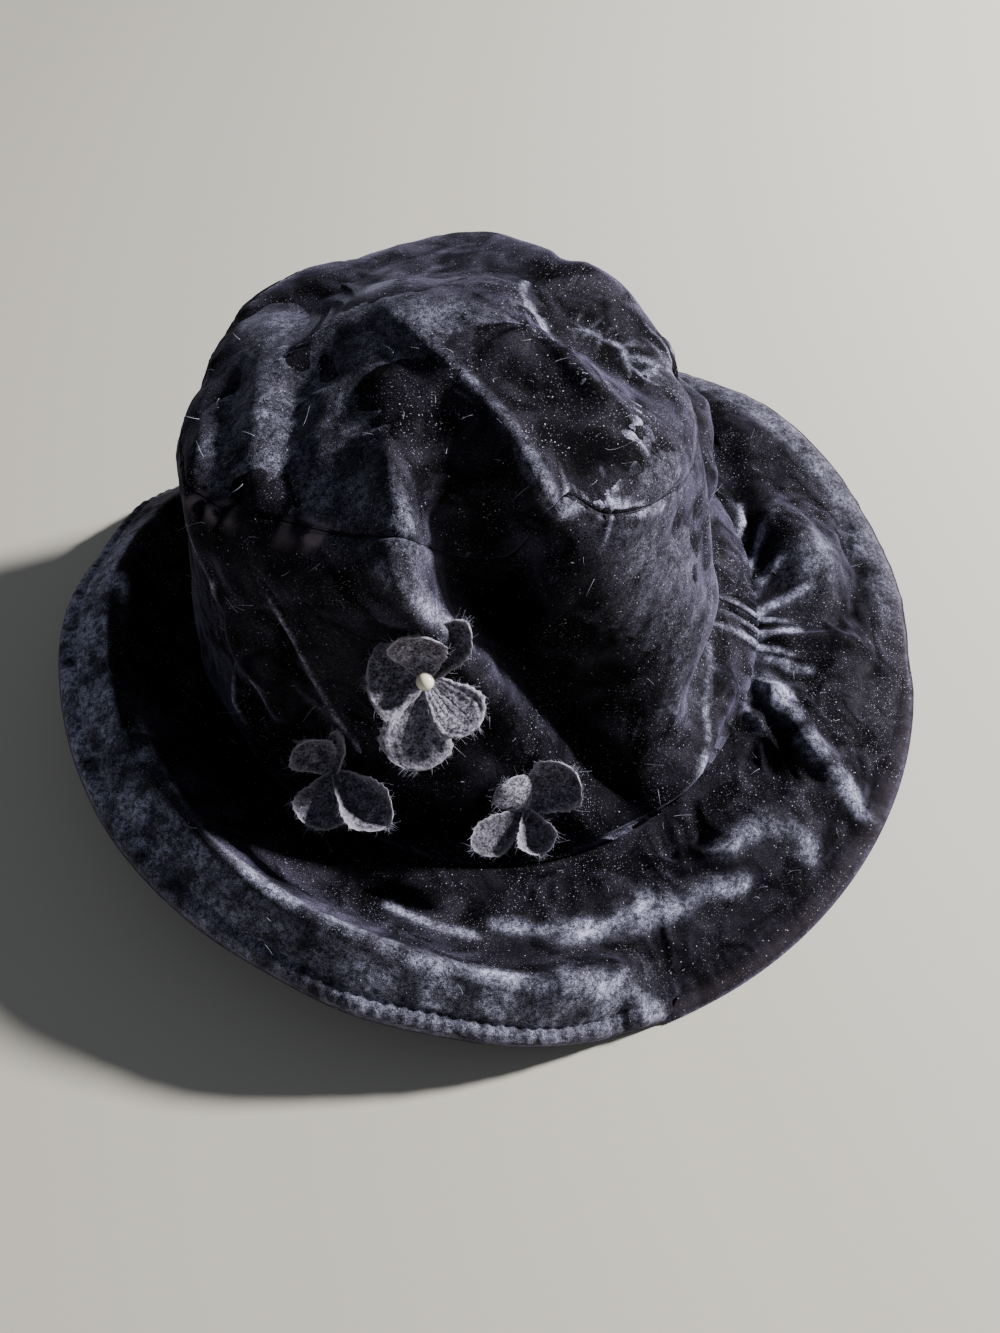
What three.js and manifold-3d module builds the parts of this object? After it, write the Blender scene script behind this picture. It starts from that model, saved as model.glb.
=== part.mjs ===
// A soft cloche hat in crushed velvet: a tip of six gores on a side band, a wide brim with one side
// turned up, and three small velvet violets sewn to the lower front, the largest with a bead.
// Millimetres, +Z up, the floor at z = 0. The front faces -Y, and the brim's right-hand side is +X.
import * as THREE from "three";
import { mergeVertices } from "three/addons/utils/BufferGeometryUtils.js";
import Module from "manifold-3d";

const wasm = await Module();
wasm.setup();

// Driving sizes
const seamRadius = 96; // where the crown is sewn to the brim
const bandTop = 114; // height of the crown's shoulder
const bandUp = 94; // the same, measured up the wall
const tipRadius = 70; // at the shoulder
const tipUp = 84; // from the shoulder to the middle of the tip, over the cloth
const tipRise = 34; // how far the tip stands above the shoulder
const tipMiddle = { x: 28.5, y: -2.5 }; // where the gores meet, from the middle of the tip
const crownCloth = 1.6; // velvet with its backing
const brimCloth = 2.4; // two layers of velvet
const hem = 4; // the brim's inner edge, turned in under the crown
const seamGap = 0.3; // between neighbours that are sewn together
const bandGap = 0.8; // the same where the wall is pressed in steeply, under the tip
const footprint = { x: -1.4, y: 0 }; // the crown's axis, measured from the middle of the hat's box

// The crown sinks to the left: quickly over the first few millimetres, then evenly all the way up.
const lean = { foot: 3, quick: 13, over: 15, even: 0.045 };

// How the shapes run between their ends: 1 is plain, more hollows them, less swells them.
const bandHollow = 1.5;
const tipSwell = 0.9;
const tipRound = 1.1;
const brimHollow = 1.6;
const brimDrop = 1.4;

// The gores of the tip, going round towards +X, each with its number of columns. Folds in front take more.
const goreTurn = 60;
const firstSeam = -12;
const gores = [
  { place: "front", columns: 16 },
  { place: "right_front", columns: 14 },
  { place: "right_back", columns: 9 },
  { place: "back", columns: 8 },
  { place: "left_back", columns: 8 },
  { place: "left_front", columns: 11 },
];

// The seam between side band and tip, by azimuth and millimetres up the wall. It sags beside the bulge.
const tipSeam = [
  { azimuth: -180, up: 102 },
  { azimuth: -110, up: 102 },
  { azimuth: -50, up: 111 },
  { azimuth: -30, up: 118 },
  { azimuth: -12, up: 120 },
  { azimuth: 10, up: 119 },
  { azimuth: 25, up: 118 },
  { azimuth: 38, up: 123 },
  { azimuth: 46, up: 112 },
  { azimuth: 60, up: 100 },
  { azimuth: 76, up: 92 },
  { azimuth: 110, up: 100 },
];

// The brim's sections. Azimuths are in degrees from the front, positive towards +X. The ridge is where
// the turned-up side bends over, and elsewhere it is just the middle of the brim. A height below the
// floor is where the edge lies flat on it.
const brimSections = [
  { azimuth: -180, ridgeRadius: 118, ridgeHeight: 14, edgeRadius: 150, edgeHeight: -4, seamHeight: 24 },
  { azimuth: -150, ridgeRadius: 118, ridgeHeight: 12, edgeRadius: 149, edgeHeight: -5, seamHeight: 22 },
  { azimuth: -125, ridgeRadius: 121, ridgeHeight: 17, edgeRadius: 148, edgeHeight: -4, seamHeight: 20 },
  { azimuth: -105, ridgeRadius: 127, ridgeHeight: 32, edgeRadius: 147, edgeHeight: 16, seamHeight: 20 },
  { azimuth: -80, ridgeRadius: 128, ridgeHeight: 44, edgeRadius: 148, edgeHeight: 34, seamHeight: 20 },
  { azimuth: -55, ridgeRadius: 128, ridgeHeight: 48, edgeRadius: 148, edgeHeight: 34, seamHeight: 18 },
  { azimuth: -30, ridgeRadius: 131, ridgeHeight: 47, edgeRadius: 148, edgeHeight: 32, seamHeight: 16 },
  { azimuth: -10, ridgeRadius: 133, ridgeHeight: 39, edgeRadius: 149, edgeHeight: 24, seamHeight: 13 },
  { azimuth: 5, ridgeRadius: 136, ridgeHeight: 26, edgeRadius: 149, edgeHeight: 12, seamHeight: 11 },
  { azimuth: 22, ridgeRadius: 130, ridgeHeight: 12, edgeRadius: 148, edgeHeight: -4, seamHeight: 10 },
  { azimuth: 50, ridgeRadius: 120, ridgeHeight: 12, edgeRadius: 148, edgeHeight: -5, seamHeight: 11 },
  { azimuth: 80, ridgeRadius: 120, ridgeHeight: 15, edgeRadius: 150, edgeHeight: 0, seamHeight: 15 },
  { azimuth: 105, ridgeRadius: 120, ridgeHeight: 18, edgeRadius: 151, edgeHeight: 8, seamHeight: 22 },
  { azimuth: 130, ridgeRadius: 118, ridgeHeight: 20, edgeRadius: 152, edgeHeight: 13, seamHeight: 26 },
  { azimuth: 155, ridgeRadius: 118, ridgeHeight: 18, edgeRadius: 152, edgeHeight: 6, seamHeight: 26 },
];
const ridgeAt = 0.64; // share of the brim's width from its seam out to the ridge

// The folds of the crown. A path runs over the smooth wall by azimuth and millimetres up the wall.
// press moves the cloth back and down, as a hand on the front would, and move gives x, y and z, one for
// each place on the path or one for them all. The cloth fades back to the smooth wall over the reach, and
// a larger edge makes a steeper side.
const crownFolds = [
  { name: "front pit", reach: 16, edge: 3.5, path: [[-28, 152], [-2, 143], [9, 132], [12, 117], [15, 98]],
    press: [7, 18, 25, 27, 20] },
  { name: "front valley", reach: 14, edge: 2.2, path: [[15, 98], [22, 62], [29, 30], [33, 10]],
    move: [[0, 7, -12], [0, 11, -17], [-4, 13, -4], [-1, 5, -2]] },
  { name: "pit rim", reach: 6, edge: 2, path: [[-50, 160], [-11, 156], [17, 145], [24, 134], [30, 122]],
    press: [0, -2, -4, -5, -3] },
  { name: "left of the pit", reach: 6, edge: 2, path: [[-24, 146], [-15, 136], [-7, 126], [-1, 110]],
    press: [-4] },
  { name: "lower left ridge", reach: 8, edge: 2, path: [[-7, 116], [2, 102], [13, 70], [24, 28]],
    move: [[0, -3, 4], [0, -4, 6], [0, -7, 2], [0, -5, 1]] },
  { name: "right side", reach: 20, edge: 2, path: [[72, 66], [84, 72]], move: [[3, 0, 0]] },
  { name: "right tuck", reach: 13, edge: 2, path: [[62, 24], [78, 28], [96, 28]],
    move: [[-5, 2, 0], [-9, 0, 0], [-9, 0, 0]] },
  { name: "right bulge", reach: 24, edge: 2, path: [[44, 106], [52, 62], [46, 29]],
    move: [[-1, -3, 1], [1, -5, 0], [3, -6, 0]] },
  { name: "foot of the bulge", reach: 9, edge: 2, path: [[66, 13], [45, 11], [25, 10]],
    move: [[6, -3, 0], [5, -5, 0], [2, -5, 0]] },
  { name: "behind the rim", reach: 9, edge: 2, path: [[20, 158], [36, 141], [40, 128]], press: [3] },
  { name: "ridge over the top", reach: 6, edge: 2,
    path: [[50, 130], [53, 143], [50, 161], [20, 175], [146, 159]],
    move: [[0, -1, 4]] },
  { name: "right of the top", reach: 14, edge: 2, path: [[103, 145], [88, 122]], move: [[-6, 0, -5]] },
  { name: "back of the top", reach: 26, edge: 2, path: [[125, 139], [185, 134], [224, 133]],
    move: [[0, -8, -7]] },
  { name: "back lobe", reach: 17, edge: 2.5, path: [[108, 44], [118, 48], [134, 46]],
    move: [[10, 0, 2], [17, 6, 3], [10, 10, 2]] },
  { name: "left hollow", reach: 9, edge: 2, path: [[-61, 151], [-64, 132]], press: [5] },
  { name: "left fold", reach: 7, edge: 2, path: [[-73, 140], [-66, 116]], press: [-4] },
  { name: "left front hollow", reach: 10, edge: 2, path: [[-34, 142], [-29, 120]], press: [3] },
  { name: "left crease", reach: 5, edge: 2, path: [[-63, 120], [-52, 99], [-40, 62], [-33, 46]],
    move: [[-2, -2, 0]] },
  { name: "left foot crease", reach: 5, edge: 2, path: [[-53, 122], [-40, 89], [-45, 28], [-38, 9]],
    move: [[-2, -2, 0]] },
  { name: "left side hollow", reach: 16, edge: 2, path: [[-92, 104], [-98, 60], [-88, 24]],
    move: [[5, 0, 0]] },
  { name: "left back fold", reach: 14, edge: 2, path: [[-122, 120], [-128, 70], [-120, 18]],
    move: [[-4, 4, 0]] },
  { name: "back hollow", reach: 18, edge: 2, path: [[-158, 118], [-166, 70], [-152, 26]],
    move: [[1, -7, 0]] },
  { name: "back fold", reach: 14, edge: 2, path: [[168, 122], [160, 74], [172, 22]], move: [[1, 5, -1]] },
  { name: "right back hollow", reach: 15, edge: 2, path: [[141, 118], [146, 84]], move: [[-4, -5, -2]] },
];

// The folds of the brim. A path runs by azimuth and share of the brim's width, 0 at the crown.
const brimFolds = [
  { name: "right crease", reach: 5, edge: 2, path: [[81, 0.05], [88, 0.62], [88, 0.8]],
    move: [[0, 0, 6]] },
  { name: "strong crease", reach: 6, edge: 2, path: [[74, 0.04], [67, 0.49], [63, 0.78], [62, 1]],
    move: [[0, 0, 8], [0, 0, 9], [0, 0, 8], [0, 0, 3]] },
  { name: "right trough", reach: 6, edge: 2, path: [[78, 0.4], [76, 0.8]], move: [[0, 0, -5]] },
  { name: "arch", reach: 5, edge: 2, path: [[42, 0.46], [51, 0.5], [52, 0.74]], move: [[0, 0, 6]] },
  { name: "arch trough", reach: 6, edge: 2, path: [[54, 0.2], [56, 0.6]], move: [[0, 0, -5]] },
  { name: "front hollow", reach: 6, edge: 2, path: [[24, 0.26], [38, 0.33]], move: [[0, 0, -4]] },
  { name: "right swell", reach: 12, edge: 2, path: [[98, 0.5], [104, 0.42]], move: [[0, 0, 9]] },
  { name: "outer trough", reach: 5, edge: 2, path: [[108, 0.85], [98, 0.82], [90, 0.72]],
    move: [[0, 0, -4]] },
  { name: "back trough", reach: 8, edge: 2, path: [[140, 0.7], [125, 0.4], [106, 0.12]],
    move: [[0, 0, -5]] },
  { name: "front hump", reach: 6, edge: 2, path: [[8, 0.7], [15, 0.76], [18, 0.95]], move: [[0, 0, 8]] },
  { name: "front swell", reach: 8, edge: 2, path: [[2, 0.3], [22, 0.34], [36, 0.56]], move: [[0, 0, 3]] },
];

// The way that press moves the cloth.
const pressed = new THREE.Vector3(0, 0.53, -0.85);

// A smooth closed curve through one column of a table whose rows go round by azimuth.
function roundValue(table, azimuth, column) {
  const turn = ((azimuth + 180) % 360 + 360) % 360 - 180;
  const count = table.length;
  const at = (i) => {
    const wraps = Math.floor(i / count);
    const row = table[i - wraps * count];
    return { azimuth: row.azimuth + 360 * wraps, value: row[column] };
  };
  let i = count - 1;
  while (table[i].azimuth > turn) i--;
  const [before, from, to, after] = [at(i - 1), at(i), at(i + 1), at(i + 2)];
  const span = to.azimuth - from.azimuth;
  const t = (turn - from.azimuth) / span;
  const slopeIn = (to.value - before.value) / (to.azimuth - before.azimuth) * span;
  const slopeOut = (after.value - from.value) / (after.azimuth - from.azimuth) * span;
  return from.value + t * (slopeIn + t * (3 * (to.value - from.value) - 2 * slopeIn - slopeOut
    + t * (2 * (from.value - to.value) + slopeIn + slopeOut)));
}

const brimValue = (azimuth, column) => roundValue(brimSections, azimuth, column);
const tipSeamUp = (azimuth) => roundValue(tipSeam, azimuth, "up");

function onRing(azimuth, radius, height, moved) {
  const a = azimuth * THREE.MathUtils.DEG2RAD;
  return new THREE.Vector3(
    radius * Math.sin(a) + moved.x + footprint.x,
    -radius * Math.cos(a) + moved.y + footprint.y,
    height,
  );
}

// The crown's radius: a band that tapers to the shoulder, then a dome that closes at the middle.
function crownRadius(up) {
  if (up <= bandUp) return tipRadius + (seamRadius - tipRadius) * (1 - up / bandUp) ** bandHollow;
  return tipRadius * Math.cos((up - bandUp) / tipUp * Math.PI / 2) ** tipRound;
}

// The crown's smooth wall, leaning to the left, with the middle of its gores drawn towards the right.
function smoothCrown(azimuth, up) {
  const foot = brimValue(azimuth, "seamHeight");
  const onTip = Math.max(up - bandUp, 0) / tipUp;
  const height = up <= bandUp
    ? foot + (bandTop - foot) * up / bandUp
    : bandTop + tipRise * Math.sin(onTip * Math.PI / 2) ** tipSwell;
  const rise = height - foot;
  const quick = 1 - Math.exp(-((rise / lean.over) ** bandHollow));
  const sunk = lean.foot + lean.quick * quick + lean.even * rise;
  const drawn = onTip ** 2.5;
  const moved = { x: tipMiddle.x * drawn - sunk, y: tipMiddle.y * drawn };
  return onRing(azimuth, crownRadius(up), height, moved);
}

// The brim's smooth surface: flat under the crown's foot, then over the ridge to the edge.
function smoothBrim(azimuth, across) {
  const foot = brimValue(azimuth, "seamHeight");
  const ridgeRadius = brimValue(azimuth, "ridgeRadius");
  const ridgeHeight = brimValue(azimuth, "ridgeHeight");
  const inner = Math.min(across / ridgeAt, 1);
  const moved = { x: -lean.foot * (1 - inner), y: 0 };
  if (across > ridgeAt) {
    const outer = (across - ridgeAt) / (1 - ridgeAt);
    const radius = ridgeRadius + (brimValue(azimuth, "edgeRadius") - ridgeRadius) * outer;
    const height = ridgeHeight + (brimValue(azimuth, "edgeHeight") - ridgeHeight) * outer ** brimDrop;
    return onRing(azimuth, radius, height, moved);
  }
  const radius = seamRadius - hem + (ridgeRadius - seamRadius + hem) * inner;
  const flat = seamRadius + 1.5 * brimCloth;
  const beyond = Math.max(radius - flat, 0) / (ridgeRadius - flat);
  return onRing(azimuth, radius, foot + (ridgeHeight - foot) * beyond ** brimHollow, moved);
}

// Turns a table of folds into straight stretches over the smooth surface, each with its two moves.
function stretches(folds, smooth) {
  return folds.map(({ path, reach, edge, press, move }) => {
    const moves = press
      ? press.map((distance) => pressed.clone().multiplyScalar(distance))
      : move.map((m) => new THREE.Vector3(...m));
    const line = path.map(([azimuth, along], i) => ({
      point: smooth(azimuth, along),
      move: moves[Math.min(i, moves.length - 1)],
    }));
    return { reach, edge, pairs: line.slice(1).map((end, i) => [line[i], end]) };
  });
}

// A folded surface: each fold moves a point by its own push, faded by the distance to the fold's path.
function folded(smooth, folds) {
  const rows = stretches(folds, smooth);
  const toStart = new THREE.Vector3();
  const along = new THREE.Vector3();
  return (azimuth, up) => {
    const point = smooth(azimuth, up);
    const result = point.clone();
    for (const { reach, edge, pairs } of rows) {
      let nearest = Infinity;
      const push = new THREE.Vector3();
      for (const [start, end] of pairs) {
        along.subVectors(end.point, start.point);
        toStart.subVectors(point, start.point);
        const share = THREE.MathUtils.clamp(toStart.dot(along) / along.lengthSq(), 0, 1);
        const distance = toStart.addScaledVector(along, -share).length();
        if (distance < nearest) {
          nearest = distance;
          push.lerpVectors(start.move, end.move, share);
        }
      }
      result.addScaledVector(push, Math.exp(-((nearest / reach) ** edge)));
    }
    return result;
  };
}

// The seam between crown and brim holds both, so their folds die out towards it.
const foldedCrown = folded(smoothCrown, crownFolds);
const crownFree = 14; // millimetres up the wall where the folds are whole
function crownSurface(azimuth, up) {
  const free = THREE.MathUtils.smoothstep(up, 0, crownFree);
  return smoothCrown(azimuth, up).lerp(foldedCrown(azimuth, up), free);
}

// The brim also never sinks into the floor.
const foldedBrim = folded(smoothBrim, brimFolds);
const brimHeld = 0.08;
const brimFree = 0.25;
function brimSurface(azimuth, across) {
  const free = THREE.MathUtils.smoothstep(across, brimHeld, brimFree);
  const point = smoothBrim(azimuth, across).lerp(foldedBrim(azimuth, across), free);
  point.z = Math.max(point.z, brimCloth / 2);
  return point;
}

// The unit normal of a surface, by small steps along its two parameters.
function normalOf(surface, a, b) {
  const step = 0.2;
  const stepUp = surface === brimSurface ? step / 100 : step;
  const side = surface(a + step, b).sub(surface(a - step, b));
  const upwards = surface(a, b + stepUp).sub(surface(a, b - stepUp));
  return side.cross(upwards).normalize();
}

// A point on one face of the cloth: the surface moved along its normal.
function facePoint(surface, a, b, offset) {
  return surface(a, b).addScaledVector(normalOf(surface, a, b), offset);
}

// A closed wall of cloth over rows of places, each place the surface's two parameters. A ring joins its
// last column to its first. Where the lower face comes this near the floor, it lies on it.
const floorSlack = 0.25;
function clothWall(surface, rows, thickness, isRing = false) {
  const columns = rows[0].length;
  const positions = [];
  for (const side of [0.5, -0.5]) {
    for (const [a, b] of rows.flat()) {
      const point = facePoint(surface, a, b, side * thickness);
      if (surface === brimSurface && point.z < floorSlack) point.z = 0;
      positions.push(point.x, point.y, point.z);
    }
  }
  const inner = columns * rows.length;
  const top = rows.length - 1;
  const index = [];
  const quad = (a, b, c, d) => index.push(a, b, c, a, c, d);
  const at = (row, column) => row * columns + column % columns;
  const lastColumn = isRing ? columns : columns - 1;
  for (let column = 0; column < lastColumn; column++) {
    for (let row = 0; row < top; row++) {
      const [a, b] = [at(row, column), at(row, column + 1)];
      const [c, d] = [at(row + 1, column + 1), at(row + 1, column)];
      quad(a, b, c, d);
      quad(inner + d, inner + c, inner + b, inner + a);
    }
    quad(at(0, column + 1), at(0, column), inner + at(0, column), inner + at(0, column + 1));
    quad(at(top, column), at(top, column + 1), inner + at(top, column + 1), inner + at(top, column));
  }
  if (!isRing) {
    for (let row = 0; row < top; row++) {
      const [a, b] = [at(row, 0), at(row + 1, 0)];
      const [c, d] = [at(row, lastColumn), at(row + 1, lastColumn)];
      quad(a, b, inner + b, inner + a);
      quad(d, c, inner + c, inner + d);
    }
  }
  const geometry = new THREE.BufferGeometry();
  geometry.setAttribute("position", new THREE.Float32BufferAttribute(positions, 3));
  geometry.setIndex(index);
  geometry.computeVertexNormals();
  return geometry;
}

function spread(from, to, steps) {
  return Array.from({ length: steps + 1 }, (_, i) => from + (to - from) * i / steps);
}

const velvet = new THREE.MeshStandardMaterial({ color: 0x14121d, roughness: 0.9, metalness: 0 });
const petalVelvet = new THREE.MeshStandardMaterial({ color: 0x23222e, roughness: 0.9, metalness: 0 });
const pearl = new THREE.MeshStandardMaterial({ color: 0xe9dcc4, roughness: 0.3, metalness: 0 });

const hat = new THREE.Group();
function add(name, geometry, material) {
  const mesh = new THREE.Mesh(geometry, material);
  mesh.name = name;
  hat.add(mesh);
  return mesh;
}

// The columns of each gore, and of the rings of brim and band, which line up with them.
const goreColumns = gores.map(({ columns }, i) => {
  const seam = firstSeam + i * goreTurn;
  return spread(seam, seam + goreTurn, columns);
});
const ringAzimuths = goreColumns.flatMap((azimuths) => azimuths.slice(0, -1));

// Brim: one wide ring, sewn to the crown's foot and lying on the floor at the right and the back.
const brimRows = spread(0.004, 1, 11).map((across) => ringAzimuths.map((azimuth) => [azimuth, across]));
add("brim", clothWall(brimSurface, brimRows, brimCloth, true), velvet);

// Side band: stands on the brim's seam, a seam gap above it, and ends a gap below the tip.
const bandFoot = (brimCloth + crownCloth) / 2 + 1.5 * seamGap;
const bandRows = spread(0, 1, 9).map((share) => ringAzimuths.map((azimuth) => {
  const top = tipSeamUp(azimuth) - bandGap / 2;
  return [azimuth, bandFoot + (top - bandFoot) * share];
}));
add("side_band", clothWall(crownSurface, bandRows, crownCloth, true), velvet);

// Tip: six gores, each narrowed by half a seam gap along its two seams and ending just short of the middle.
const nose = 1;
const narrowing = 1.2 * seamGap;
gores.forEach(({ place }, i) => {
  const middle = firstSeam + (i + 0.5) * goreTurn;
  const rows = spread(0, 1, 11).map((share) => goreColumns[i].map((azimuth) => {
    const foot = tipSeamUp(azimuth) + bandGap / 2;
    const up = foot + (bandUp + tipUp - nose - foot) * share;
    const inset = narrowing / crownRadius(up) * THREE.MathUtils.RAD2DEG;
    return [middle + (azimuth - middle) * (1 - 2 * inset / goreTurn), up];
  }));
  add(`tip_gore_${place}`, clothWall(crownSurface, rows, crownCloth), velvet);
});

// Violets: velvet petals on a short stem. The seat is given on the crown's wall, facing is where the flower
// looks, and each petal's turn is clockwise from the top as the flower is seen from its front. Lift raises
// a petal's foot out of the flower's plane, and curl bends it on towards the viewer, in degrees.
const petalCloth = 0.9;
const stemRadius = 2;
const violets = [
  {
    name: "violet_main", hasBead: true, azimuth: 2, up: 79, standoff: 4, facing: [0, -0.72, 0.7],
    petals: [
      { turn: 185, length: 24, width: 21, lift: -4, curl: 22 },
      { turn: 130, length: 19, width: 17, lift: 14, curl: 10 },
      { turn: 265, length: 17, width: 19, lift: 12, curl: 20 },
      { turn: 350, length: 16, width: 16, lift: 40, curl: 40 },
      { turn: 45, length: 15, width: 14, lift: 40, curl: 50 },
    ],
  },
  {
    name: "violet_right", azimuth: 15, up: 25, standoff: 4, facing: [0.1, -0.75, 0.65],
    petals: [
      { turn: 265, length: 23, width: 15, lift: 4, curl: 25 },
      { turn: 355, length: 20, width: 17, lift: 38, curl: 20 },
      { turn: 55, length: 26, width: 18, lift: 18, curl: 30 },
      { turn: 117, length: 17, width: 14, lift: 5, curl: 35 },
    ],
  },
  {
    name: "violet_left", azimuth: -20, up: 36, standoff: 4, facing: [-0.15, -0.75, 0.65],
    petals: [
      { turn: 305, length: 17, width: 15, lift: 20, curl: 35 },
      { turn: 3, length: 19, width: 12, lift: 42, curl: 20 },
      { turn: 215, length: 16, width: 15, lift: 5, curl: 40 },
      { turn: 130, length: 20, width: 13, lift: 10, curl: 45 },
    ],
  },
];

// A petal as a surface in its flower's frame: x across it, y along it, z towards the viewer.
function petalSurface({ length, width, lift, curl }) {
  const foot = 1.2;
  return (across, along) => {
    const share = THREE.MathUtils.clamp(along / length, 0, 1);
    const bend = (lift + curl * share / 2) * THREE.MathUtils.DEG2RAD;
    const half = foot + (width / 2 - foot) * Math.sin(Math.PI * Math.min(share, 0.97) ** 0.75) ** 0.7;
    const x = across * half;
    return new THREE.Vector3(x, along * Math.cos(bend), along * Math.sin(bend) + across ** 2 * half * 0.25);
  };
}

function solidOf(geometry) {
  const plain = geometry.clone();
  for (const name of ["normal", "uv"]) plain.deleteAttribute(name);
  const merged = mergeVertices(plain, 1e-4);
  return new wasm.Manifold(new wasm.Mesh({
    numProp: 3,
    vertProperties: new Float32Array(merged.attributes.position.array),
    triVerts: new Uint32Array(merged.index.array),
  }));
}

function geometryOf(solid) {
  const { vertProperties, triVerts } = solid.getMesh();
  const geometry = new THREE.BufferGeometry();
  geometry.setAttribute("position", new THREE.BufferAttribute(vertProperties, 3));
  geometry.setIndex(new THREE.BufferAttribute(triVerts, 1));
  geometry.computeVertexNormals();
  return geometry;
}

// Where a flower sits: its stem's foot a seam gap off the wall, and the frame that its petals are built in.
function flowerPlace({ azimuth, up, standoff, facing }) {
  const wall = normalOf(crownSurface, azimuth, up);
  const foot = facePoint(crownSurface, azimuth, up, crownCloth / 2 + 1.5 * seamGap);
  const heart = foot.clone().addScaledVector(wall, standoff);
  const z = new THREE.Vector3(...facing).normalize();
  const x = new THREE.Vector3(0, 0, 1).cross(z).normalize();
  const frame = new THREE.Matrix4().makeBasis(x, z.clone().cross(x), z).setPosition(heart);
  return { wall, foot, heart, frame, looking: z };
}

const petalRows = 5;
const petalColumns = 3;
const heartRadius = 1.2 * stemRadius;
const beadRadius = 2.3;
for (const violet of violets) {
  const { wall, foot, heart, frame, looking } = flowerPlace(violet);
  const stem = new THREE.CylinderGeometry(stemRadius, stemRadius, violet.standoff, 10);
  stem.applyQuaternion(new THREE.Quaternion().setFromUnitVectors(new THREE.Vector3(0, 1, 0), wall));
  stem.translate(...foot.clone().lerp(heart, 0.5));
  let flower = solidOf(stem).add(solidOf(new THREE.SphereGeometry(heartRadius, 8, 6).translate(...heart)));
  for (const petal of violet.petals) {
    const across = spread(-1, 1, petalColumns);
    const rows = spread(0, petal.length, petalRows).map((along) => across.map((x) => [x, along]));
    const leaf = clothWall(petalSurface(petal), rows, petalCloth);
    leaf.rotateZ(-petal.turn * THREE.MathUtils.DEG2RAD).applyMatrix4(frame);
    flower = flower.add(solidOf(leaf));
  }
  if (violet.hasBead) {
    // The bead sits in front of the heart, in a hollow that keeps it a seam gap clear of the petals.
    const centre = heart.clone().addScaledVector(looking, heartRadius + seamGap + beadRadius);
    const hollow = new THREE.SphereGeometry(beadRadius + seamGap, 12, 8).translate(...centre);
    flower = flower.subtract(solidOf(hollow));
    add("bead", new THREE.SphereGeometry(beadRadius, 12, 8), pearl).position.copy(centre);
  }
  add(violet.name, geometryOf(flower), petalVelvet);
}

export default hat;
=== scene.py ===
# A soft cloche hat in crushed velvet, standing on its brim, with three velvet violets on its front.
# Shapes are worked out in millimetres and turned to metres where a mesh is made. Azimuths are degrees
# from the front of the hat, positive towards +X.
import bpy
import math
import numpy as np
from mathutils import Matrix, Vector


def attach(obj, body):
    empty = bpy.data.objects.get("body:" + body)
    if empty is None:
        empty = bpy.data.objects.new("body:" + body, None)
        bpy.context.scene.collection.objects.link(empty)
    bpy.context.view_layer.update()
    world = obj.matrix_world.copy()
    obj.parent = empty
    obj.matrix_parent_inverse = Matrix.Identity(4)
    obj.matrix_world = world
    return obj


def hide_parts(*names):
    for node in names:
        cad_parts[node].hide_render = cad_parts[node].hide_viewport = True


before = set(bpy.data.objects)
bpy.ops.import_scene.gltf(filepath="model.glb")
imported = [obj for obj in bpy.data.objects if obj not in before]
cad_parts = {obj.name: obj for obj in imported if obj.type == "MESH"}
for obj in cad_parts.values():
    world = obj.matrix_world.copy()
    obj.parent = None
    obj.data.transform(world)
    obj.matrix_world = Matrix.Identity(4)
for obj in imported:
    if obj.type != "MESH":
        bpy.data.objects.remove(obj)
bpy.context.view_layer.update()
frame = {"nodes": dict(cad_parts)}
MM = 0.001
# The hat's axis stands this far from the frame's own.
hat_shift = -1.4

# Camera
# It looks down at the front of the hat from 59 degrees, near enough for the crown to look large.
view_height = math.radians(59)
view_distance = 0.322
looked_at = Vector((hat_shift * MM, -0.0385, 0.040))
camera = bpy.data.objects.new("camera", bpy.data.cameras.new("camera"))
bpy.context.scene.collection.objects.link(camera)
towards_camera = Vector((0, -math.cos(view_height), math.sin(view_height)))
camera.location = looked_at + towards_camera * view_distance
camera.rotation_euler = (math.pi / 2 - view_height, 0, 0)
camera.data.sensor_width = 36
camera.data.lens = 27.03
camera.data.clip_start = 0.01
bpy.context.scene.camera = camera

# Brim
# Two layers of velvet cut as one wide ring, turned and stitched round the edge. It is sewn to the foot
# of the crown, stands up at the left and the front left, and lies low and crumpled at the right.

# The seam to the crown: its radius, and how far it leans to the left.
seam_radius = 96
seam_lean = 3
# Both layers together, the width from seam to edge, the edge's radius, and what is tucked in.
brim_cloth = 2.4
brim_wide = 54
brim_radius = 150
hem = 4
# The ridge's place as a share of the width, and the powers of the curves up to it and down from it.
ridge_at = 0.64
brim_hollow = 2.2
brim_drop = 1.15
# The stitched roll along the edge, and the seam's gathers: their pitch, where they are and how strong.
roll_wide = 5.5
roll_thick = 4.2
gather_pitch = 6.5
gather_azimuth = 84
gather_spread = 22
gather_least = 0.03
gather_most = 1.3
# Points round the brim, and the share of its width from which its rows lie closer together.
brim_columns = 1080
fine_from = 0.86

# azimuth, ridge radius, ridge height, edge radius, edge height, seam height
brim_sections = [
    (-180, 118, 14, 150, -4, 24),
    (-150, 118, 12, 149, -5, 22),
    (-125, 121, 17, 148, -4, 20),
    (-105, 127, 32, 147, 16, 20),
    (-80, 128, 44, 148, 34, 20),
    (-55, 128, 48, 148, 34, 18),
    (-30, 131, 47, 148, 32, 16),
    (-10, 133, 39, 149, 24, 13),
    (5, 136, 26, 149, 12, 11),
    (22, 130, 12, 148, -4, 10),
    (50, 120, 12, 148, -5, 11),
    (80, 120, 15, 150, 0, 15),
    (105, 120, 18, 151, 8, 22),
    (130, 118, 20, 152, 13, 26),
    (155, 118, 18, 152, 6, 26),
]
RIDGE_RADIUS, RIDGE_HEIGHT, EDGE_RADIUS, EDGE_HEIGHT, SEAM_HEIGHT = 1, 2, 3, 4, 5


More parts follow.
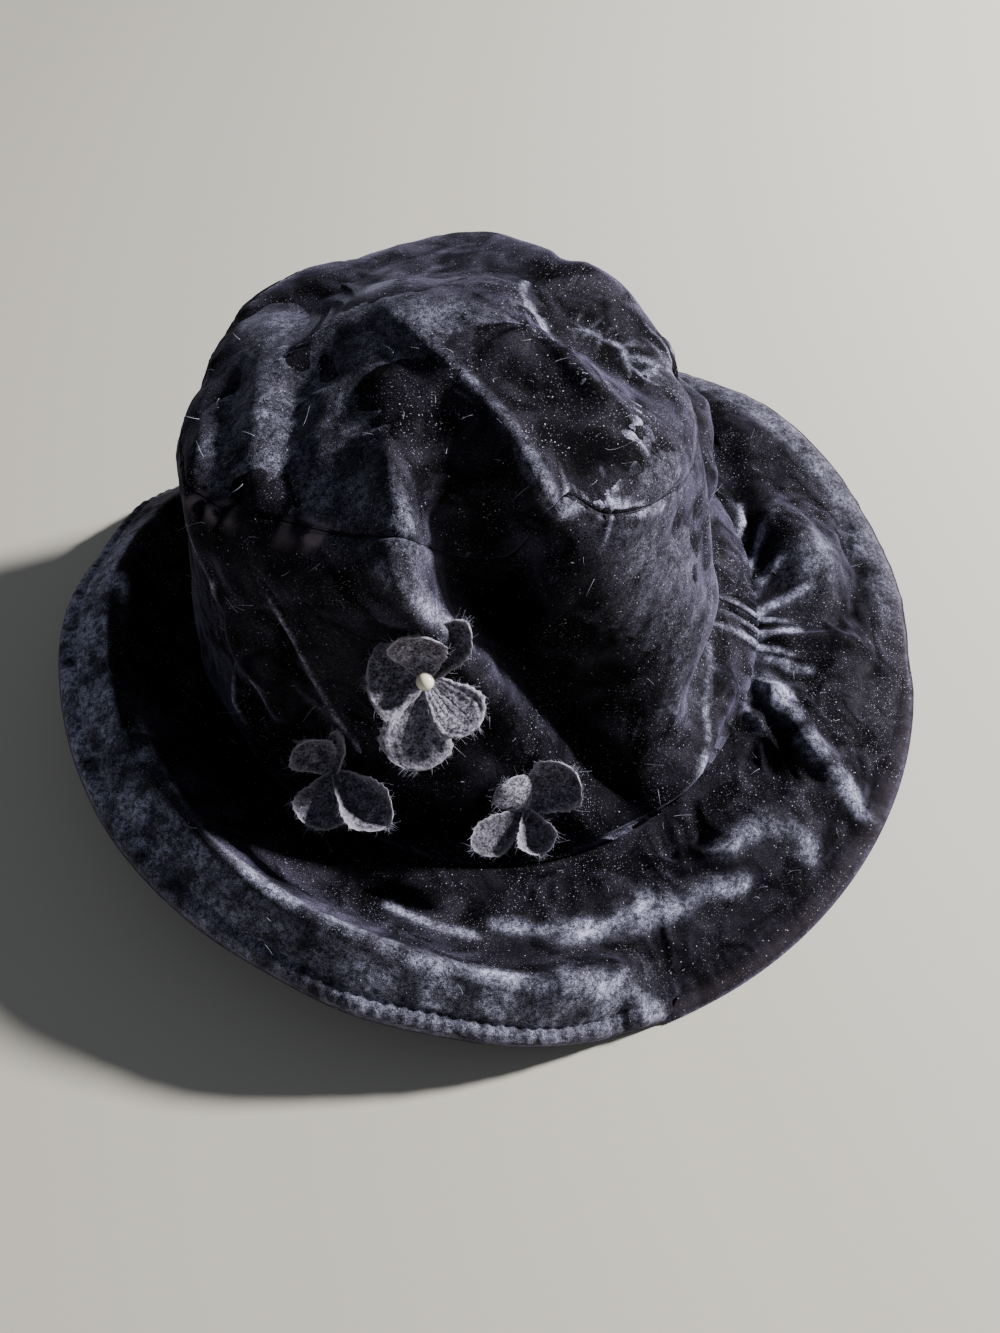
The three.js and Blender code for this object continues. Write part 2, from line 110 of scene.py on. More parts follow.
def lifted(*distances):
    """Moves straight up, one for each place on a path."""
    return [(0, 0, distance) for distance in distances]


# path by azimuth and share of the brim's width, reach, edge, moves in x, y and z
brim_folds = [
    # the creases at the right and the trough between them
    ([(81, 0.05), (84, 0.62), (84, 0.8)], 3.5, 1.6, lifted(3, 4, 2)),
    ([(76, 0.04), (70, 0.23), (62, 0.59), (60, 0.78), (59, 0.95)], 4.5, 1.5, lifted(3, 4.5, 5.5, 4, 1)),
    ([(78, 0.4), (76, 0.8)], 7, 2, lifted(-2)),
    # the arch at the front right, and the hollows beside it
    ([(39, 0.46), (47, 0.55), (49, 0.78)], 5, 2, lifted(2.5)),
    ([(54, 0.2), (56, 0.6)], 7, 2, lifted(-2.5)),
    ([(24, 0.26), (38, 0.33)], 6, 2, lifted(-4)),
    # the swell and the troughs at the back right
    ([(98, 0.5), (104, 0.42)], 12, 2, lifted(9)),
    ([(108, 0.85), (98, 0.82), (90, 0.72)], 5, 2, lifted(-4)),
    ([(140, 0.7), (125, 0.4), (106, 0.12)], 8, 2, lifted(-5)),
    # the front
    ([(8, 0.7), (15, 0.76), (18, 0.95)], 7, 2, lifted(6)),
    ([(2, 0.3), (22, 0.34), (36, 0.56)], 8, 2, lifted(3)),
]

# path by azimuth and share of the brim's width, reach, height along the cloth's normal
brim_creases = [
    ([(86, 0.1), (94, 0.5)], 2.6, 1.6),
    ([(79, 0.1), (80, 0.45)], 2.2, 1.6),
    ([(66, 0.1), (60, 0.4)], 2.4, 1.8),
    ([(58, 0.1), (48, 0.36)], 2.4, 1.4),
    ([(75, 0.1), (70, 0.5), (64, 0.8)], 2.0, 1.4),
    ([(96, 0.1), (112, 0.5)], 2.6, 1.4),
    ([(112, 0.1), (131, 0.6), (140, 0.8)], 3.0, 1.6),
    ([(40, 0.1), (30, 0.3), (22, 0.36)], 2.6, 1.2),
    ([(12, 0.62), (19, 0.7), (30, 0.74)], 2.6, 1.0),
    ([(-8, 0.2), (-22, 0.42)], 3.0, 0.9),
    ([(-36, 0.3), (-58, 0.42)], 3.0, 1.0),
    ([(-70, 0.24), (-92, 0.4)], 3.0, 0.9),
]

# Short sharp creases that burst out of the right side's gathers: azimuth at the seam, sweep and length.
bursts = [
    (66, -4, 0.16), (73, -3, 0.3), (78, 0, 0.4), (83, 2, 0.3),
    (88, 5, 0.36), (93, 6, 0.24), (99, 9, 0.3), (106, 9, 0.2),
]
burst_from = 0.06
burst_reach = 1.5
burst_height = 0.8
burst_paths = [
    [(azimuth, burst_from), (azimuth + sweep, burst_from + length)] for azimuth, sweep, length in bursts]
brim_creases += [(path, burst_reach, burst_height) for path in burst_paths]


def round_value(table, azimuth, column):
    """A smooth closed curve through one column of a table whose rows go round by azimuth."""
    rows = np.array(table, float)
    turns = np.concatenate([rows[-1:, 0] - 360, rows[:, 0], rows[:2, 0] + 360])
    values = np.concatenate([rows[-1:, column], rows[:, column], rows[:2, column]])
    turn = (azimuth + 180) % 360 - 180
    i = np.clip(np.searchsorted(turns, turn, side="right") - 1, 1, len(rows))
    span = turns[i + 1] - turns[i]
    t = (turn - turns[i]) / span
    slope_in = (values[i + 1] - values[i - 1]) / (turns[i + 1] - turns[i - 1]) * span
    slope_out = (values[i + 2] - values[i]) / (turns[i + 2] - turns[i]) * span
    rise = values[i + 1] - values[i]
    bend = 3 * rise - 2 * slope_in - slope_out + t * (slope_in + slope_out - 2 * rise)
    return values[i] + t * (slope_in + t * bend)


def on_ring(azimuth, radius, height, moved_x=0, moved_y=0):
    """A point at a radius and a height over the azimuth, moved sideways."""
    a = np.radians(azimuth)
    x = radius * np.sin(a) + moved_x + hat_shift
    y = -radius * np.cos(a) + moved_y
    return np.stack(np.broadcast_arrays(x, y, height), -1)


def smooth_brim(azimuth, across):
    """The brim without folds: flat under the crown, a power curve up to the ridge and one on to the edge."""
    foot, ridge_radius, ridge_height, edge_radius, edge_height = (
        round_value(brim_sections, azimuth, column)
        for column in (SEAM_HEIGHT, RIDGE_RADIUS, RIDGE_HEIGHT, EDGE_RADIUS, EDGE_HEIGHT))
    inner = np.minimum(across / ridge_at, 1)
    outer = np.maximum(across - ridge_at, 0) / (1 - ridge_at)
    inner_radius = seam_radius - hem
    radius = inner_radius + (ridge_radius - inner_radius) * inner + (edge_radius - ridge_radius) * outer
    flat = seam_radius + 1.5 * brim_cloth
    beyond = np.clip((radius - flat) / (ridge_radius - flat), 0, 1)
    rise = (ridge_height - foot) * beyond ** brim_hollow
    drop = (edge_height - ridge_height) * outer ** brim_drop
    return on_ring(azimuth, radius, foot + rise + drop, -seam_lean * (1 - inner))


def path_distance(points, smooth, path):
    """Each point's distance to a path over a smooth surface, and the nearest place, counted in stretches."""
    line = smooth(*np.array(path, float).T)
    nearest = np.full(points.shape[:-1], np.inf)
    stretch = np.zeros(points.shape[:-1])
    for i, (start, end) in enumerate(zip(line[:-1], line[1:])):
        along = end - start
        share = np.clip((points - start) @ along / (along @ along), 0, 1)
        distance = np.linalg.norm(points - start - share[..., None] * along, axis=-1)
        nearer = distance < nearest
        nearest = np.where(nearer, distance, nearest)
        stretch = np.where(nearer, i + share, stretch)
    return nearest, stretch


def folded(points, smooth, folds):
    """The points moved by each fold's push, faded by exp(-(distance / reach) ** edge) from its path."""
    moved = points.copy()
    for path, reach, edge, moves in folds:
        distance, stretch = path_distance(points, smooth, path)
        pushes = np.broadcast_to(np.array(moves, float), (len(path), 3))
        i = np.minimum(stretch.astype(int), len(path) - 2)
        share = (stretch - i)[..., None]
        push = pushes[i] * (1 - share) + pushes[i + 1] * share
        moved += push * np.exp(-((distance / reach) ** edge))[..., None]
    return moved


def creased(points, smooth, creases):
    """The height of narrow creases at each point: a ridge with a soft top that tapers at both of its ends."""
    height = np.zeros(points.shape[:-1])
    for path, reach, top in creases:
        distance, stretch = path_distance(points, smooth, path)
        taper = np.sin(np.pi * np.clip(stretch / (len(path) - 1), 0.04, 0.96)) ** 0.6
        height += top * taper * np.exp(-((distance / reach) ** 1.3))
    return height


def waves(points, size, seed, count=20):
    """Soft random waves of about that size: a sum of cosines in random directions, mostly within -2 to 2."""
    chance = np.random.default_rng(seed)
    ways = chance.normal(size=(count, 3))
    ways *= (2 * np.pi / size * chance.uniform(0.7, 1.4, count) / np.linalg.norm(ways, axis=1))[:, None]
    phases = chance.uniform(0, 2 * np.pi, count)
    total = np.zeros(points.shape[:-1])
    for way, phase in zip(ways, phases):
        total += np.cos(points @ way + phase)
    return total * math.sqrt(2 / count)


def crumpled(points, size, seed):
    """Crumpled cloth: sharp ridges where a field of bent waves crosses zero, with soft hollows between."""
    bent = points + size * 0.5 * np.stack([waves(points, size * 2.2, seed + k) for k in (1, 2, 3)], -1)
    ridge = 1 - np.abs(waves(bent, size, seed)) / 1.2
    return np.clip(ridge, -1, 1)


def smooth_step(value, low, high):
    """0 up to low, 1 from high on, and between them 3 t squared less 2 t cubed of the share t."""
    t = np.clip((value - low) / (high - low), 0, 1)
    return t * t * (3 - 2 * t)


def between(value, start, full_from, full_to, end):
    """A window: 0 outside start and end, 1 from full_from to full_to, with smooth steps up and down."""
    return smooth_step(value, start, full_from) * smooth_step(-value, -end, -full_to)


def normals_of(points):
    """Unit normals of a grid of rows whose columns close into a ring, from the differences of neighbours."""
    around = np.roll(points, -1, 1) - np.roll(points, 1, 1)
    along = np.gradient(points, axis=0)
    normal = np.cross(around, along)
    return normal / np.maximum(np.linalg.norm(normal, axis=-1, keepdims=True), 1e-9)


def in_scene(name, mesh):
    """An object for a mesh, smoothly shaded and linked into the scene."""
    mesh.shade_smooth()
    thing = bpy.data.objects.new(name, mesh)
    bpy.context.scene.collection.objects.link(thing)
    return thing


def closed_skin(name, rows, join_ends=True, attributes=None):
    """A closed mesh over rows that go round. The last row joins the first, or both end in a point."""
    count, columns = rows.shape[:2]
    points = rows.reshape(-1, 3)
    row, column = np.meshgrid(np.arange(count if join_ends else count - 1), np.arange(columns), indexing="ij")
    after = (column + 1) % columns
    this_row = row * columns
    next_row = (row + 1) % count * columns
    corners = [this_row + column, this_row + after, next_row + after, next_row + column]
    quads = np.stack(corners, -1).reshape(-1, 4)
    a, b, c, d = (points[quads[:, k]] for k in range(4))
    volume = np.einsum("ij,ij->", a, np.cross(b, c)) + np.einsum("ij,ij->", a, np.cross(c, d))
    faces = [tuple(f) for f in quads.tolist()]
    if not join_ends:
        ends = np.stack([rows[0].mean(0), rows[-1].mean(0)])
        low, high = len(points), len(points) + 1
        points = np.concatenate([points, ends])
        top = (count - 1) * columns
        faces += [(low, (k + 1) % columns, k) for k in range(columns)]
        faces += [(high, top + k, top + (k + 1) % columns) for k in range(columns)]
    # A volume below zero means that the faces look inwards.
    if volume < 0:
        faces = [f[::-1] for f in faces]
    mesh = bpy.data.meshes.new(name)
    mesh.from_pydata((points * MM).tolist(), [], faces)
    for label, values in (attributes or {}).items():
        layer = mesh.attributes.new(label, "FLOAT", "POINT")
        flat = np.zeros(len(points), np.float32)
        flat[:values.size] = values.reshape(-1)
        layer.data.foreach_set("value", flat)
    return in_scene(name, mesh)


def brim_surface(azimuth, across):
    """The brim's middle surface with its folds, which die out at the seam, kept just clear of the floor."""
    smooth = smooth_brim(azimuth, across)
    free = smooth_step(across, 0.08, 0.25)[..., None]
    points = smooth + (folded(smooth, smooth_brim, brim_folds) - smooth) * free
    points[..., 2] = np.maximum(points[..., 2], brim_cloth / 2)
    return points


def gather_amount(azimuth):
    """How strongly the seam between crown and brim is gathered: most at the right, little at the left."""
    turn = (azimuth - gather_azimuth + 180) % 360 - 180
    return gather_least + gather_most * np.exp(-(turn / gather_spread) ** 2)


def gathers(azimuth, distance, reach):
    """Uneven ripples that run out from the seam between crown and brim, fading with the distance from it."""
    arc = np.radians(azimuth) * seam_radius
    wobble = 2.6 * np.sin(arc / 13) + 1.7 * np.sin(arc / 5.9 + 1)
    uneven = np.clip(0.5 + 0.4 * np.sin(arc / 11 + 2) + 0.35 * np.sin(arc / 4.3), 0, 1.2)
    ripple = np.cos(2 * np.pi * arc / gather_pitch + wobble)
    ripple += 0.6 * np.cos(2 * np.pi * arc / (gather_pitch * 2.3) + 2 + 0.7 * wobble)
    longer = reach * (0.7 + 0.6 * uneven)
    return ripple * uneven * gather_amount(azimuth) * np.exp(-distance / longer)


# painted highlights and sheen: path by azimuth and share of the brim's width, reach, how light
painted_brim_highlights = [
    ([(-88, 0.66), (-55, 0.65), (-30, 0.65), (-10, 0.67), (6, 0.68)], 1.6, 0.8),
    ([(0, 0.36), (8, 0.4), (14, 0.41)], 2.2, 0.7),
    ([(9, 0.44), (17, 0.45), (23, 0.43)], 2.8, 0.95),
    ([(20, 0.48), (28, 0.53)], 3.2, 0.6),
    ([(27, 0.52), (33, 0.58), (37, 0.68)], 2.2, 0.8),
    ([(-16, 0.38), (-9, 0.42), (-3, 0.43)], 1.8, 0.6),
    ([(73, 0.12), (70, 0.23), (66, 0.42)], 2.6, 0.8),
    ([(63, 0.52), (61, 0.66)], 2.2, 0.45),
    ([(60, 0.73), (59, 0.95)], 2.2, 0.7),
    ([(38, 0.47), (46, 0.58), (49, 0.82)], 3, 0.5),
    ([(8, 0.7), (14, 0.76), (18, 0.95)], 3, 0.7),
    ([(96, 0.43), (100, 0.6)], 8, 0.35),
]

# painted shade: path by azimuth and share of the brim's width, reach, how dark
painted_brim_shades = [
    ([(-70, 0.2), (-40, 0.2), (-10, 0.14), (20, 0.12)], 14, 0.35),
    ([(-24, 0.42), (-4, 0.5), (12, 0.56)], 6, 0.4),
    ([(100, 0.16), (124, 0.5), (141, 0.8)], 9, 0.8),
    ([(74, 0.3), (66, 0.66)], 4, 0.6),
    ([(56, 0.2), (57, 0.55)], 7, 0.5),
    ([(25, 0.33), (38, 0.46)], 4, 0.5),
    ([(60, 0.75), (64, 0.9)], 5, 0.6),
    ([(20, 0.7), (34, 0.85)], 6, 0.5),
]


def strokes_over(smooth, surface, strokes):
    """The strongest of several soft-edged strokes at each point of a surface."""
    amount = np.zeros(smooth.shape[:-1])
    for path, reach, most in strokes:
        distance, _ = path_distance(smooth, surface, path)
        amount = np.maximum(amount, most * np.exp(-((distance / reach) ** 2)))
    return amount


def brim_painted_sheen(azimuth, across, smooth):
    """Painted sheen and highlights: strokes over the brim and the bent-over band at its edge."""
    left = between(azimuth, -112, -92, 6, 22)
    most = 0.4 + 0.38 * smooth_step(-azimuth, 30, 70)
    band = most * left * smooth_step(across, ridge_at + 0.02, ridge_at + 0.06)
    back = 0.25 * between(azimuth, 80, 110, 135, 175) * smooth_step(across, 0.82, 0.9)
    painted_burst_highlights = [(path, burst_reach, 0.9) for path in burst_paths]
    return np.maximum.reduce([band, back, strokes_over(smooth, smooth_brim, painted_brim_highlights + painted_burst_highlights)])


def brim_wrinkles(across, middle, smooth, pulled):
    """The height of creases, gathers, soft waves, and crumples that grow where the brim lies low."""
    low = smooth_step(25 - middle[..., 2], 0, 12)
    calm = 1 - 0.7 * smooth_step(across, 0.75, 0.98)
    crumples = (0.15 + 0.55 * low) * calm * crumpled(smooth, 28, 5) + 0.7 * waves(smooth, 60, 2)
    crumples *= smooth_step(across, 0.06, 0.2)
    return creased(smooth, smooth_brim, brim_creases) + 0.5 * pulled + crumples


def brim_roll(azimuth, from_edge):
    """Half the brim's thickness, swollen at the roll, and the relief of the roll's groove and puckers."""
    rolled = between(azimuth, -125, -105, 14, 30)
    swollen = smooth_step(roll_wide - from_edge, 0, 2.5) * (0.25 + 0.75 * rolled)
    half = brim_cloth / 2 + (roll_thick - brim_cloth) / 2 * swollen
    groove = 0.8 * np.exp(-((from_edge - roll_wide) / 0.9) ** 2) * (0.2 + 0.8 * rolled)
    arc = np.radians(azimuth) * brim_radius
    pucker = np.cos(2 * np.pi * arc / 4.1 + 2.2 * np.sin(arc / 19))
    pucker += 0.6 * np.cos(arc / 1.9 + 3 * np.sin(arc / 31))
    pucker *= (0.08 + 0.2 * rolled) * np.exp(-((from_edge - roll_wide + 1.2) / 3.2) ** 2)
    return half, pucker - groove


def build_brim():
    """The brim as a closed skin: out over its top, round the edge and back underneath, clear of the floor."""
    broad = np.linspace(0, fine_from, 48, endpoint=False)
    fine = np.linspace(fine_from, 0.985, 14, endpoint=False)
    under = np.linspace(0.98, 0, 18)
    edge = len(broad) + len(fine)
    azimuth = np.linspace(-180, 180, brim_columns, endpoint=False)
    a, s = np.meshgrid(azimuth, np.concatenate([broad, fine, [1.0], under]))
    from_edge = (1 - s) * brim_wide
    from_seam = np.maximum(s * brim_wide - hem, 0)
    smooth = smooth_brim(a, s)
    middle = brim_surface(a, s)
    normal = np.concatenate([-normals_of(middle[:edge + 1]), normals_of(middle[edge:])[1:]])
    pulled = gathers(a, from_seam, 9)
    middle = middle + normal * brim_wrinkles(s, middle, smooth, pulled)[..., None]
    half, relief = brim_roll(a, from_edge)
    middle[..., 2] = np.maximum(middle[..., 2], half)
    is_top = (np.arange(len(s)) < edge)[:, None]
    offset = np.where(is_top, half + relief, -half)
    offset[edge] = 0
    points = middle + normal * offset[..., None]
    # The edge row stands out by most of half the roll's thickness.
    outwards = middle[edge] - middle[edge - 3]
    outwards /= np.linalg.norm(outwards, axis=-1, keepdims=True)
    points[edge] = middle[edge] + outwards * (roll_thick / 2 * 0.8)
    points[..., 2] = np.maximum(points[..., 2], 0.0)
    broken = np.clip(0.8 + 0.3 * waves(smooth, 18, 41) + 0.2 * waves(smooth, 7, 42), 0.2, 1.3)
    # Painted sheen and highlights on the top face, from the strokes and the gathers' crests.
    painted_sheen = np.maximum(brim_painted_sheen(a, s, smooth) * broken, np.clip(pulled - 0.3, 0, 1)) * is_top
    wear = 0.06 * np.exp(-(from_edge / 3.0) ** 2)
    # Painted shade over the right of the brim and along the shade strokes.
    painted_shade = np.maximum(0.22 * between(a, 0, 40, 110, 150), strokes_over(smooth, smooth_brim, painted_brim_shades))
    return closed_skin("brim_cloth", points, attributes={"wear": wear, "painted_sheen": painted_sheen, "painted_shade": painted_shade})


def link_or_set(material, socket, value):
    """A socket of a node linked to another node's output, or set to a number or a colour."""
    if isinstance(value, bpy.types.NodeSocket):
        material.node_tree.links.new(value, socket)
    elif socket.type == "RGBA":
        socket.default_value = (*value, 1)
    else:
        socket.default_value = value


def set_inputs(material, node, **inputs):
    """A node's inputs linked or set by their names, in which an underscore stands for a space."""
    for label, value in inputs.items():
        link_or_set(material, node.inputs[label.replace("_", " ")], value)


def add_node(material, kind, **inputs):
    """A new node of a material, with the inputs given."""
    node = material.node_tree.nodes.new("ShaderNode" + kind)
    set_inputs(material, node, **inputs)
    return node


def new_material(name, **inputs):
    """A material whose own shader has the inputs given."""
    material = bpy.data.materials.new(name)
    material.use_nodes = True
    set_inputs(material, material.node_tree.nodes["Principled BSDF"], **inputs)
    return material


def velvet_material(name, deep, lit, painted_light, worn, sheen, grain_scale):
    """Crushed velvet: a near-black pile, mottled and linty, that turns from deep to lit at a glancing angle.

    The mesh's attributes paint shade on it, paint sheen and highlights in its light colour, and wear it.
    """
    material = new_material(
        name, Sheen_Weight=sheen, Sheen_Roughness=0.24, Sheen_Tint=(0.74, 0.72, 1.0), Specular_IOR_Level=0.02)
    place = add_node(material, "TexCoord").outputs["Object"]

    def noise(scale, detail, distortion=0.0):
        node = add_node(material, "TexNoise", Vector=place, Scale=scale, Detail=detail, Distortion=distortion)
        return node.outputs["Fac"]

    def attribute(label):
        node = add_node(material, "Attribute")
        node.attribute_name = label
        return node.outputs["Fac"]

    def ramp(value, *stops):
        """Two stops, each a position and a grey level or a colour."""
        node = add_node(material, "ValToRGB", Fac=value)
        for element, (position, colour) in zip(node.color_ramp.elements, stops):
            element.position = position
            element.color = (*np.broadcast_to(colour, 3), 1)
        return node.outputs["Color"]

    def blend(kind, factor, first, second):
        node = add_node(material, "Mix")
        node.data_type = "RGBA"
        node.blend_type = kind
        sockets = {socket.identifier: socket for socket in [*node.inputs, *node.outputs]}
        for label, value in (("Factor_Float", factor), ("A_Color", first), ("B_Color", second)):
            link_or_set(material, sockets[label], value)
        return sockets["Result_Color"]

    def bump(**inputs):
        return add_node(material, "Bump", **inputs).outputs["Normal"]

    def mixed(factor, first, second):
        return blend("MIX", factor, first, second)

    def multiplied(first, second):
        return blend("MULTIPLY", 1.0, first, second)

    crushed = noise(75, 4, 1.2)
    patchy = noise(300, 4, 0.9)
    pile = noise(grain_scale, 2)
    coarse = bump(Height=patchy, Strength=0.25, Distance=0.0008)
    fine = bump(Height=pile, Strength=0.6, Distance=0.0002, Normal=coarse)
    facing = add_node(material, "LayerWeight", Blend=0.3, Normal=coarse).outputs["Facing"]
    grain = ramp(pile, (0.32, 0.2), (0.68, 2.1))
    colour = multiplied(ramp(facing, (0.3, deep), (1.0, lit)), ramp(crushed, (0.38, 0.25), (0.66, 1.8)))
    colour = multiplied(colour, grain)
    # Painted shade: the colour is darkened towards near black where the shade attribute asks.
    colour = mixed(attribute("painted_shade"), colour, (0.002, 0.0018, 0.003))
    # Painted sheen and highlights: the light colour, mottled and grained, where the sheen attribute asks.
    mottle = multiplied(
        ramp(patchy, (0.34, 0.35), (0.66, 1.05)), ramp(noise(700, 3, 0.4), (0.36, 0.35), (0.62, 1.2)))
    lifted = multiplied(mottle, multiplied(attribute("painted_sheen"), grain))
    colour = mixed(lifted, colour, painted_light)
    colour = mixed(attribute("wear"), colour, worn)
    dust = multiplied(
        ramp(noise(2300, 1), (0.67, 0), (0.75, 0.9)), ramp(noise(60, 3, 0.5), (0.42, 0.12), (0.62, 1)))
    colour = mixed(dust, colour, (0.4, 0.4, 0.5))
    cells = add_node(material, "TexVoronoi", Vector=place, Scale=620)
    fleck = ramp(cells.outputs["Distance"], (0.06, 1), (0.13, 0))
    rare = ramp(cells.outputs["Color"], (0.6, 0), (0.68, 1))
    colour = mixed(multiplied(fleck, rare), colour, (0.5, 0.5, 0.58))
    rough = ramp(crushed, (0.35, 0.8), (0.7, 0.55))
    shader = material.node_tree.nodes["Principled BSDF"]
    set_inputs(material, shader, Base_Color=colour, Roughness=rough, Normal=fine)
    return material


# The light colour is painted sheen and highlights; the worn colour is wear.
velvet = velvet_material(
    "velvet", deep=(0.011, 0.0096, 0.0135), lit=(0.06, 0.055, 0.09), painted_light=(0.46, 0.45, 0.62),
    worn=(0.26, 0.2, 0.23), sheen=0.1, grain_scale=2800)
brim = build_brim()
brim.data.materials.append(velvet)
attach(brim, "root")
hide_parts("brim")

# Side band
# The wall of the crown, one strip of velvet gathered into the brim's seam and sewn to the tip above.
# A hand has pressed it in at the front, so it stands in one large fold that leans to the left.

# Up its wall the crown measures band_up to the shoulder and tip_up more to the middle of the top. The
# shoulder stands band_top high, and the middle tip_rise higher and tip_middle off the axis, in x and y.
band_up = 94
tip_up = 84
band_top = 114
tip_rise = 34
tip_radius = 70
tip_middle = (28.5, -2.5)
crown_cloth = 1.6
# Powers of the curves: the band's taper, the dome's height and the dome's radius.
band_hollow = 1.5
tip_swell = 0.84
tip_round = 1.26
# The lean to the left: lean_quick, reached over about lean_over, and lean_even for each millimetre up.
lean_quick = 13
lean_over = 15
lean_even = 0.042
# The way that a hand in front presses the cloth: backwards and down.
press_way = np.array((0, 0.53, -0.85))
# The side band starts this far up the wall, and leaves half a seam's gap below the tip.
band_foot = 2.4
seam_half_gap = 0.1
crown_columns = 620


def pressed(*distances):
    """Moves along the way that the hand presses, one for each place on a path."""
    return [tuple(distance * press_way) for distance in distances]


# azimuth, millimetres up the wall of the seam between side band and tip
tip_seam = [
    (-180, 102), (-110, 102), (-50, 111), (-30, 118), (-12, 120), (10, 119),
    (25, 118), (38, 123), (46, 112), (60, 100), (76, 92), (110, 100),
]

# path by azimuth and millimetres up the wall, reach, edge, moves in x, y and z
crown_folds = [
    # the pit in the front, its rim, and the valley that runs down from it
    ([(-20, 150), (-9, 148), (2, 142)], 9, 2.5, pressed(0, 2, 2)),
    ([(1, 142), (8, 133), (12, 123), (15, 111), (17, 100)], 15, 4, pressed(0, 3, 15, 30, 24)),
    ([(13, 102), (15, 88), (20, 70), (25, 50), (29, 30), (31, 12)], 9, 2.5, pressed(12, 18, 17, 15, 10, 3)),
    ([(21, 106), (24, 88), (29, 68), (33, 48), (35, 28), (35, 12)], 21, 2, pressed(12, 15, 15, 13, 9, 3)),
    ([(-146, 139), (-97, 158), (-64, 161), (-23, 160), (6, 155), (22, 147), (28, 140), (31, 133),
      (32, 127), (34, 121)], 4.5, 1.6, pressed(0, -2, -3, -3, -2, -2, -3, -5, -6, -4)),
    ([(50, 148), (47, 138), (45, 127)], 8, 2, pressed(0, 1, 2)),
    ([(-44, 151), (-29, 145), (-15, 135), (-6, 123), (-1, 107)], 6, 2,
     [(0, -1, 2), (2, -2, 3), (3, -4, 6), (3, -4, 6), (1, -3, 5)]),
    ([(-6, 112), (4, 89), (15, 66), (21, 48), (26, 28), (27, 12)], 7, 2,
     pressed(-6, -11, -12, -12, -9, -4)),
    # the bulge at the right, tucked in at its foot
    ([(74, 46), (84, 72), (86, 90)], 20, 2, [(7, 0, 0), (7, 0, 0), (4, 0, 0)]),
    ([(62, 20), (78, 22), (96, 24)], 11, 2, [(-5, 2, 0), (-10, 0, 0), (-10, 0, 0)]),
    ([(62, 100), (66, 76), (62, 50), (54, 26)], 12, 2, pressed(-3, -5, -6, -4)),
    ([(99, 100), (91, 75), (85, 54), (80, 40), (76, 26)], 4.5, 2,
     [(-4, 2, -5), (-6, 2, -7), (-7, 2, -8), (-6, 2, -7), (-3, 1, -3)]),
    ([(44, 106), (52, 62), (46, 29)], 24, 2, [(-1, -3, 1), (1, -7, 0), (3, -8, 0)]),
    # the shoulders, the foot of the bulge, the top and the lobe at the right back
    ([(-118, 122), (-85, 130), (-52, 142)], 24, 2, [(10.5, 0, -6.5), (7, 0, -5), (3, 0, -3)]),
    ([(108, 112), (132, 122), (150, 128)], 15, 2, [(0, 0, -1), (0, 0, 10.5), (7, 0, 9.5)]),
    ([(118, 146), (150, 152)], 12, 2, [(0, 0, 3)]),
    ([(66, 13), (45, 11), (25, 10)], 9, 2, [(6, -3, 0), (5, -5, 0), (2, -5, 0)]),
    ([(66, 130), (64, 141), (74, 149), (100, 158)], 4, 1.6,
     [(0, -1, 2), (0, -1, 4), (0, -1, 4), (0, 0, 1)]),
    ([(103, 145), (88, 122)], 14, 2, [(-6, 0, -5)]),
    ([(125, 139), (160, 136), (195, 134), (224, 133)], 26, 2,
     [(0, -7, -6), (0, -10, -9), (0, -8, -7), (0, -8, -7)]),
    ([(108, 44), (118, 48), (134, 46)], 17, 2.5, [(10, 0, 2), (17, 6, 3), (10, 10, 2)]),
    # the dome at the left
    ([(-85, 148), (-67, 138), (-36, 125)], 7, 2, pressed(2, 4, 3)),
    ([(-109, 124), (-64, 130), (-40, 120)], 6, 2, pressed(-1, -3, -2)),
    ([(-87, 122), (-58, 124), (-44, 116)], 4, 2, pressed(1, 3, 2)),
    ([(-86, 107), (-68, 115), (-48, 106)], 4, 2, pressed(-1, -2, -1)),
    # the left side
    ([(-63, 120), (-52, 99), (-40, 62), (-33, 46)], 5, 2, [(-2, -2, 0)]),
    ([(-53, 122), (-40, 89), (-45, 28), (-38, 9)], 5, 2, [(-2, -2, 0)]),
    ([(-92, 104), (-98, 60), (-88, 24)], 16, 2, [(5, 0, 0)]),
    ([(-122, 120), (-128, 70), (-120, 18)], 14, 2, [(-4, 4, 0)]),
    # the back
    ([(-158, 118), (-166, 70), (-152, 26)], 18, 2, [(1, -7, 0)]),
    ([(168, 122), (160, 74), (172, 22)], 14, 2, [(1, 5, -1)]),
    ([(141, 118), (146, 84)], 15, 2, [(-4, -5, -2)]),
]

# path by azimuth and millimetres up the wall, reach, height along the cloth's normal
crown_creases = [
    ([(-64, 118), (-58, 92), (-46, 62), (-35, 42)], 1.8, 1.3),
    ([(-54, 122), (-46, 84), (-45, 40), (-41, 12)], 1.8, 1.5),
    ([(-36, 108), (-30, 82), (-20, 56), (-15, 40)], 1.8, 1.3),
    ([(-62, 128), (-60, 146)], 2.2, 1.0),
    ([(-48, 124), (-46, 142)], 2.4, 1.2),
    ([(-38, 126), (-34, 146)], 2.0, 0.9),
    ([(6, 155), (22, 147), (28, 140), (31, 133), (34, 122)], 2.0, 0.8),
    ([(-29, 145), (-15, 135), (-6, 123), (-1, 107)], 2.0, 0.8),
    ([(-6, 112), (4, 89), (15, 66), (21, 48), (26, 28)], 2.4, 0.8),
    ([(100, 160), (96, 148)], 2.2, 0.9),
    ([(80, 22), (66, 15), (48, 13), (30, 12)], 2.2, 1.2),
    ([(96, 60), (104, 84), (100, 108)], 2.6, 1.4),
    ([(112, 40), (112, 80), (106, 112)], 3.0, 1.4),
    ([(150, 30), (158, 70), (150, 104)], 3.5, 1.2),
    ([(-140, 24), (-148, 60), (-140, 100)], 3.5, 1.2),
]


def seam_up(azimuth):
    """How far up the wall the seam between side band and tip runs."""
    return round_value(tip_seam, azimuth, 1)


